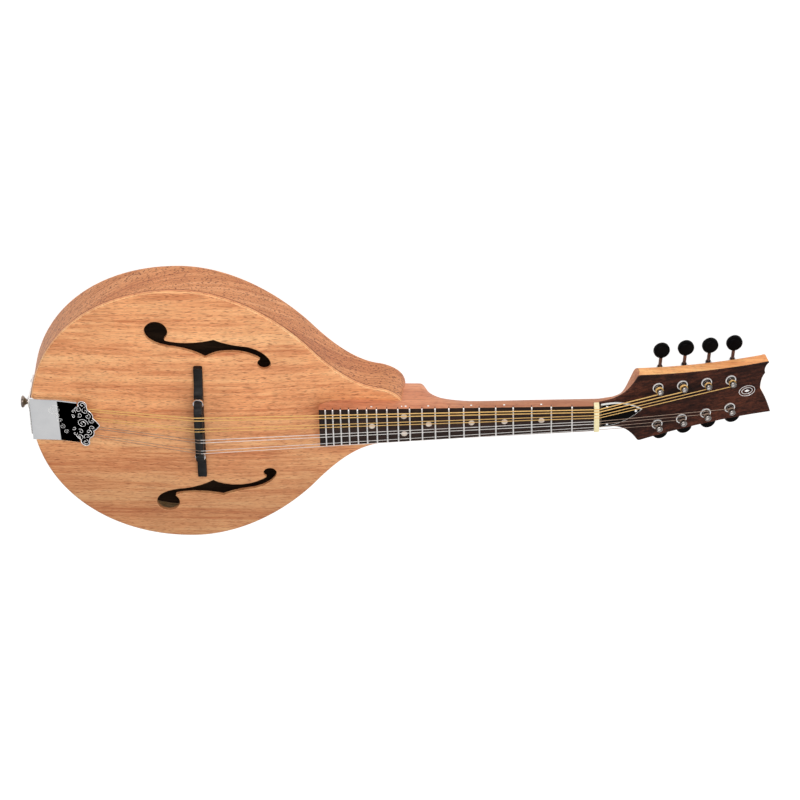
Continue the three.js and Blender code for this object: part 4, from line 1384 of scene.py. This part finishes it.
def saddle():
    """The bar: round at its ends, relieved beside the crown and grooved for the strings."""
    crown = ((0, SADDLE_TOP + 0.3), (23.5, SADDLE_TOP + 0.3), (26, 66), (28.4, 64.6), (36, 64.5))
    end = WHEEL_Y + SADDLE_HALF
    stations = []
    for turn in np.linspace(-math.pi / 2, math.pi / 2, 121):
        y = end * math.sin(turn)
        past = max(0, abs(y) - WHEEL_Y)
        half = max(0.5, math.sqrt(max(0, SADDLE_HALF**2 - past**2)))
        stations.append((y, half, SADDLE_BOTTOM, smooth(crown, abs(y))))
    shape = cross_bar(stations, 0.45)
    high = SADDLE_TOP + 5
    relief = box((-9, -23, SADDLE_TOP - 1.4), (CROWN_TREBLE[0], -1.5, high), 0)
    relief += box((CROWN_BASS[1], 1.5, SADDLE_TOP - 1.4), (9, 23, high), 0)
    shape = boolean(shape, relief)
    shape = boolean(shape, string_rods(1.1, [string[2] for string in STRINGS], SADDLE_TOP, -9, 9))
    for _, side in SIDES:
        shape = boolean(shape, rod(STUD_R + 0.4, 50, BORE_TOP).at(y=side * WHEEL_Y))
    piece("saddle_bar", shape.moved(IN_BRIDGE), EBONY, ["bridge_saddle"], "saddle")


def knurled_wheel():
    """A ring with a ridged rim and a bore."""
    ridges = 34
    bore = STUD_R + 0.35
    rows = ((bore, WHEEL_LOW, 0), (WHEEL_R - 0.45, WHEEL_LOW, 0), (WHEEL_R, WHEEL_LOW + 0.45, 0.16))
    rows += ((WHEEL_R, WHEEL_HIGH - 0.45, 0.16), (WHEEL_R - 0.45, WHEEL_HIGH, 0), (bore, WHEEL_HIGH, 0))
    sections = []
    for radius, height, depth in rows:
        section = []
        for i in range(ridges * 4):
            angle = 2 * math.pi * i / (ridges * 4)
            r = radius - depth * (i % 4 in (2, 3))
            section.append((r * math.cos(angle), r * math.sin(angle), height))
        sections.append(section)
    return loft(sections, closed=True)


def bridge():
    bridge_base()
    saddle()
    wheel = knurled_wheel()
    stud = screw_thread(STUD_R - 0.2, STUD_R, 0.8, 50.8, 61.9)
    for name, side in SIDES:
        here = IN_BRIDGE @ Matrix.Translation((0, side * WHEEL_Y, 0))
        nodes = [f"thumbwheel_{name}"]
        piece(f"knurled_{name}", wheel.moved(here), CHROME, nodes, f"wheel_{name}")
        piece(f"stud_{name}", stud.moved(here), STEEL, [f"bridge_stud_{name}"])


# ---- Tailpiece ----


def cover_z(x):
    """Height of the cover's face: a roof that bends up a little, then the steeper crest."""
    low, high = COVER_SLOPES
    start, end = COVER_BEND
    share = min(1, max(0, (x - start) / (end - start)))
    eased = (end - start) * (share**3 - share**4 / 2) + max(0, min(x, COVER_FRONT_X) - end)
    roof = COVER_Z + (min(x, COVER_FRONT_X) - COVER_BACK_X) * low + eased * (high - low)
    return roof + max(0, x - COVER_FRONT_X) * STRING_SLOPE


def cover_section(x, thick=0.5, wall=2.6, shoulder=1.2):
    """One section of the folded sheet: over the outside, then back along the inside."""
    top = cover_z(x)
    outside = [(COVER_HALF, top - wall)]
    outside += arc((COVER_HALF - shoulder, top - shoulder), shoulder, 0, 0.5, 5)
    inner = max(0.3, shoulder - thick)
    within = [(COVER_HALF - thick, top - wall)]
    within += arc((COVER_HALF - thick - inner, top - thick - inner), inner, 0, 0.5, 5)
    half = outside + [(5, top)]
    half_in = within + [(5, top - thick)]
    across = half + [(-y, z) for y, z in reversed(half)]
    back_again = half_in + [(-y, z) for y, z in reversed(half_in)]
    return [(x, y, z) for y, z in across + back_again[::-1]]


def crest_outline():
    """The crest seen from above; x is 0 near the front edge of the cover."""
    half = [(-3, 15)]
    half += curve([half[-1], (-1, 18.2), (0.8, 18.6)], 4)
    half += arc((5.6, 21), 4.4, 1.18, 0.06, 18)
    half += curve([half[-1], (9.2, 15.4), (12.6, 14.5)], 6)
    half += curve([half[-1], (15.8, 10.8), (14.7, 7.2)], 6)
    half += curve([half[-1], (18.2, 4.6), (20.8, 0)], 7)
    return both_halves(half)


def scroll(centre, radius, turns, start, steps=40):
    """A spiral on the flat that tightens towards its centre."""
    path = []
    for i in range(steps + 1):
        share = i / steps
        angle = start + turns * 2 * math.pi * share
        reach = radius * (1 - 0.82 * share)
        path.append((centre[0] + reach * math.cos(angle), centre[1] + reach * math.sin(angle)))
    return path


# One row per scroll: centre, radius, turns (negative winds the other way) and starting angle.
CREST_SCROLLS = (
    ((4.4, 0), 5.2, 1.7, 0),
    ((5.6, 21), 3.2, 1.1, -1.2),
    ((1.0, 15.4), 3.0, -1.0, 1.0),
    ((7.8, 14.4), 3.2, 1.0, 2.4),
    ((2.0, 9.4), 2.8, 1.0, -2.2),
    ((9.6, 8.8), 3.2, -1.1, 1.4),
    ((13.2, 3.8), 2.8, 1.0, 2.6),
    ((-3.4, 12.4), 2.2, 0.9, -0.4),
    ((-4.0, 6.6), 2.2, -0.9, 2.4),
)
COVER_SCROLLS = (
    ((-133.3, 12.8), 4.8, 1.3, 0.6),
    ((-135.0, 12.4), 6.4, -0.9, 0.2),
    ((-131.2, 5.8), 2.7, -1.3, 2.2),
    ((-129.0, 0.2), 2.6, 1.3, 0.2),
    ((-127.0, -6.0), 2.8, -1.4, 1.6),
    ((-123.6, -11.8), 2.5, 1.3, 0.4),
)


def crest():
    """The pointed crest with raised scrolls and a raised edge, drawn flat and tilted to the strings."""
    tilt = Matrix.Translation((COVER_FRONT_X - 0.4, 0, cover_z(COVER_FRONT_X) - 0.05))
    tilt = tilt @ Matrix.Rotation(-math.atan(STRING_SLOPE), 4, "Y")
    outline = crest_outline()
    sheet = stack(outline, ((0.1, -0.5), (0, -0.4), (0, -0.1), (0.1, 0)))
    relief = Shape()
    for centre, radius, turns, start in CREST_SCROLLS:
        for side in (1, -1) if centre[1] else (1,):
            path = [(x, side * y, 0.1) for x, y in scroll(centre, radius, turns, start)]
            relief += sweep(path, 0.22, 8)
    edge = inset(outline, 0.4)
    relief += sweep([(x, y, 0.05) for x, y in edge], 0.38, 8)
    return sheet.moved(tilt), relief.moved(tilt)


def cover():
    """The folded sheet and its crest, and the raised lines on both."""
    shell = loft([cover_section(x) for x in np.linspace(COVER_BACK_X, COVER_FRONT_X, 42)])
    lines = Shape()
    for centre, radius, turns, start in COVER_SCROLLS:
        path = [(x, y, cover_z(x) - 0.06) for x, y in scroll(centre, radius, turns, start)]
        lines += sweep(path, 0.2, 8)
    sheet, relief = crest()
    piece("cover_sheet", shell + sheet, CHROME, ["tailpiece_cover"], "cover")
    piece("cover_relief", relief + lines, NICKEL, body="cover")


def bracket():
    """The folded plate that anchors the strings: down the tail and over the edge of the top."""
    out = TAIL_X - 1.5
    profile = [(out, 1.5), (TAIL_X - 0.05, 1.5), (TAIL_X - 0.05, BODY_DEPTH - 1)]
    bend = [profile[-1], (TAIL_X - 0.05, BODY_DEPTH + 0.4), (TAIL_X + 2, BODY_DEPTH + 0.5)]
    profile += curve(bend, 5)
    profile += [(-135, 41.7), (-122, 42.6), (-122, 43.4), (-135, 42.6), (out + 3, BODY_DEPTH + 1.6)]
    profile += curve([profile[-1], (out, BODY_DEPTH + 1.6), (out, BODY_DEPTH - 1)], 5)
    flat = prism(profile, -BRACKET_HALF, BRACKET_HALF).moved(Matrix.Rotation(math.pi / 2, 4, "X"))
    flat = rounded(flat, 0.3)
    hooks = Shape()
    for _, _, across, _ in STRINGS:
        steps = ((0.4, -0.8), (1.0, 0.4), (1.5, 1.0), (2.2, 1.3))
        path = [(HOOK_X - back, across * TAIL_SPREAD, HOOK_Z + up) for back, up in steps]
        hooks += sweep(path, 0.5, 12)
    piece("string_anchor", flat + hooks, NICKEL, ["tailpiece_bracket"])
    for number, (y, z) in enumerate(((14, 6), (14, 32), (-14, 6), (-14, 32)), 1):
        head = screw_head(2.4, 1.6).moved(Z_TO_MINUS_X).at(out, y, z)
        piece(f"anchor_screw_{number}", head, STEEL)


def strap_button():
    """The button and its felt washer, on the tail of the body."""
    profile = [(2.4, -15), (2.6, 0.2), (2.4, 4.0), (2.6, 5.2), (3.4, 6.2), (4.6, 7.0)]
    profile += [(5.4, 7.8), (5.6, 8.6), (5.4, 9.3), (4.4, 9.8), (2.4, 10.0), (0.3, 10.05)]
    place = Matrix.Translation((TAIL_X - 1.5, 0, STRAP_Z)) @ Z_TO_MINUS_X
    piece("strap_stud", lathe(profile, 36).moved(place), WORN_METAL, ["strap_button"])
    disc = [(2.8, 0.05), (6.2, 0.05), (6.4, 0.5), (6.0, 2.8), (5.6, 3.2), (2.8, 3.3)]
    piece("strap_washer", lathe(disc, 32, closed=True).moved(place), FELT)


# ---- Strings ----


def string_path(radius, across, nut_y, post_number):
    """Corner points of a string: over the hook, saddle and nut, then round its post."""
    side = 1 if across > 0 else -1
    rest = radius + 0.08
    crown = CROWN_BASS if side > 0 else CROWN_TREBLE
    back, front = (BRIDGE_X - across * math.tan(BRIDGE_TURN) + x for x in crown)
    middle = (back + front) / 2
    saddle_z = SADDLE_TOP + rest
    hook_y = across * TAIL_SPREAD
    hook_z = HOOK_Z + radius
    tail = [(HOOK_X - 1.2, hook_y, hook_z - 0.3), (HOOK_X + 1.5, hook_y, hook_z + 0.2)]
    tail += [(back, across, saddle_z), (middle, across, saddle_z + 0.02)]
    main = [(middle, across, saddle_z + 0.02), (front, across, saddle_z)]
    for x in (0, NUT_LONG):
        main.append(tuple(IN_NECK @ Vector((x, nut_y, NUT_TOP + rest))))
    along = post_number * POST_STEP
    post = (POST_FIRST + along * math.cos(POST_LINE), side * (POST_HALF - along * math.sin(POST_LINE)))
    coil = 2.72 + radius
    pitch = 2 * radius + 0.05
    turns = 2.25 if radius > 0.3 else 3.5
    for i in range(round(turns * COIL_STEPS) + 1):
        angle = i / COIL_STEPS * 2 * math.pi - math.pi / 2
        height = COIL_TOP - pitch * i / COIL_STEPS
        spot = (post[0] + coil * math.cos(angle), post[1] + side * coil * math.sin(angle), height)
        main.append(tuple(IN_HEAD @ Vector(spot)))
    return tail, main


def finer(path, longest=6.0):
    """The path with its long spans split into shorter ones."""
    points = [Vector(path[0])]
    for a, b in zip(map(Vector, path), map(Vector, path[1:])):
        steps = max(1, math.ceil((b - a).length / longest))
        points += [a.lerp(b, i / steps) for i in range(1, steps + 1)]
    return points


def string_piece(name, path, radius, material, stands_for=()):
    """A round wire swept along a path, its grain running along the wire."""
    path = finer(path)
    sides = 10
    shape = sweep(path, radius, sides)
    grain, travelled = [], 0
    for i, point in enumerate(path):
        travelled += (point - path[i - 1]).length if i else 0
        grain += [(travelled, radius * k, 0) for k in range(sides)]
    made = piece(name, shape, material, stands_for, None, grain)
    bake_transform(made)
    return made


def strings():
    """Eight strings, each in two pieces that meet on the saddle."""
    for i, (name, radius, across, nut_y) in enumerate(STRINGS):
        is_wound = across > 0
        material, slot = (WINDING, "bronze_wound") if is_wound else (PLAIN_STRING, "steel")
        post_number = i if is_wound else len(STRINGS) - 1 - i
        tail, main = string_path(radius, across, nut_y, post_number)
        shown = radius + (0.02 if is_wound else 0.08)
        nodes = [f"string_{name}"]
        made = string_piece(f"wire_{name}", main, shown, material, nodes)
        if not is_wound:
            # Painted shade on the plain strings past the nut, and on their tails below.
            refinish(made, PAINTED_SHADE_STRING, lambda face: face.center.x > HEAD_X * MM)
            material = PAINTED_SHADE_STRING
        string_piece(f"wire_tail_{name}", tail, shown, material)


# ---- Stage ----


def floor():
    """A large pale floor under the lowest point of the model."""
    low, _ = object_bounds()
    made = bmesh.new()
    bmesh.ops.create_grid(made, x_segments=8, y_segments=8, size=6)
    mesh = bpy.data.meshes.new("floor")
    made.to_mesh(mesh)
    made.free()
    greys = ((140, 140, 140), (136, 136, 136))
    plain = finish("floor paper", greys, 0.9, size=4, bump=0.02, specular=0.0)
    glow = plain.node_tree.nodes["Principled BSDF"]
    glow.inputs["Emission Color"].default_value = (1, 1, 1, 1)
    glow.inputs["Emission Strength"].default_value = 0.9
    mesh.materials.append(plain)
    sheet = bpy.data.objects.new("floor", mesh)
    sheet.location = (0, 0, low.z - 0.0005)
    bpy.context.scene.collection.objects.link(sheet)
    sheet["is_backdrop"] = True


def light(name, place, target, size, power):
    """A rectangular lamp that faces its target."""
    data = bpy.data.lights.new(name, "AREA")
    data.shape = "RECTANGLE"
    data.size, data.size_y = size
    data.energy = power
    lamp = bpy.data.objects.new(name, data)
    lamp.location = place
    lamp.rotation_euler = (Vector(target) - Vector(place)).to_track_quat("-Z", "Y").to_euler()
    bpy.context.scene.collection.objects.link(lamp)
    lamp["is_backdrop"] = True


def surroundings():
    """A pale room, dim at the horizon, with a dark screen that gives the chrome its contrast."""
    world = bpy.data.worlds.new("studio")
    world.use_nodes = True
    tree = world.node_tree
    sky = tree.nodes["Background"]
    where = tree.nodes.new("ShaderNodeTexCoord").outputs["Generated"]

    def math_node(operation, a, b):
        node = tree.nodes.new("ShaderNodeMath")
        node.operation = operation
        for socket, value in zip(node.inputs, (a, b)):
            if isinstance(value, bpy.types.NodeSocket):
                tree.links.new(value, socket)
            else:
                socket.default_value = value
        return node.outputs[0]

    def facing(towards, start, end):
        """Rises from 0 to 1 as a direction turns towards a given one, between two cosines."""
        product = tree.nodes.new("ShaderNodeVectorMath")
        product.operation = "DOT_PRODUCT"
        product.inputs[1].default_value = Vector(towards).normalized()
        tree.links.new(where, product.inputs[0])
        share = tree.nodes.new("ShaderNodeMapRange")
        share.inputs["From Min"].default_value = start
        share.inputs["From Max"].default_value = end
        tree.links.new(product.outputs["Value"], share.inputs["Value"])
        return share.outputs["Result"]

    beyond_tail = math_node("MULTIPLY", facing((-1, 0, 0), 0.285, 0.292), facing((0, -1, 0), 0.3, 0.4))
    screens = math_node("SUBTRACT", 0.99, beyond_tail)
    height = math_node("ADD", math_node("MULTIPLY", facing((0, 0, 1), 0.22, 0.5), 0.85), 0.15)
    tree.links.new(math_node("MULTIPLY", screens, height), sky.inputs["Color"])
    sky.inputs["Strength"].default_value = 0.7
    bpy.context.scene.world = world


def camera():
    """The view of the photo: from above the bass side, with the neck to the right."""
    lean = math.radians(38)
    up = Vector((0, math.cos(lean), -math.sin(lean)))
    ahead = Vector((-0.03547, -math.sin(lean), -math.cos(lean))).normalized()
    right = ahead.cross(up)
    data = bpy.data.cameras.new("camera")
    data.lens = 168.75
    data.sensor_width = 36
    data.clip_end = 50
    made = bpy.data.objects.new("camera", data)
    eye = (0.2956, 2.0794, 2.6773)
    rows = [(right[i], up[i], -ahead[i], eye[i]) for i in range(3)]
    made.matrix_world = Matrix([*rows, (0, 0, 0, 1)])
    bpy.context.scene.collection.objects.link(made)
    bpy.context.scene.camera = made


def stage():
    floor()
    surroundings()
    middle = (0.1, 0, 0.03)
    light("key", (0.35, 1.3, 1.5), middle, (1.4, 0.9), 20)
    light("fill", (0.9, -1.6, 2.2), middle, (1.8, 1.4), 8)
    camera()
    bpy.context.scene.view_settings.view_transform = "Standard"


# ---- Whole instrument ----

top()
back()
for name, side in SIDES:
    rim(name, side)
inside_wood()
neck_wood()
head_veneer()
head_inlay()
fingerboard()
for n in range(1, FRETS + 1):
    fret(n)
fret_slots()
dots()
string_nut()
rod_cover()
rod_nut()
tuners()
bridge()
cover()
bracket()
strap_button()
strings()
stage()
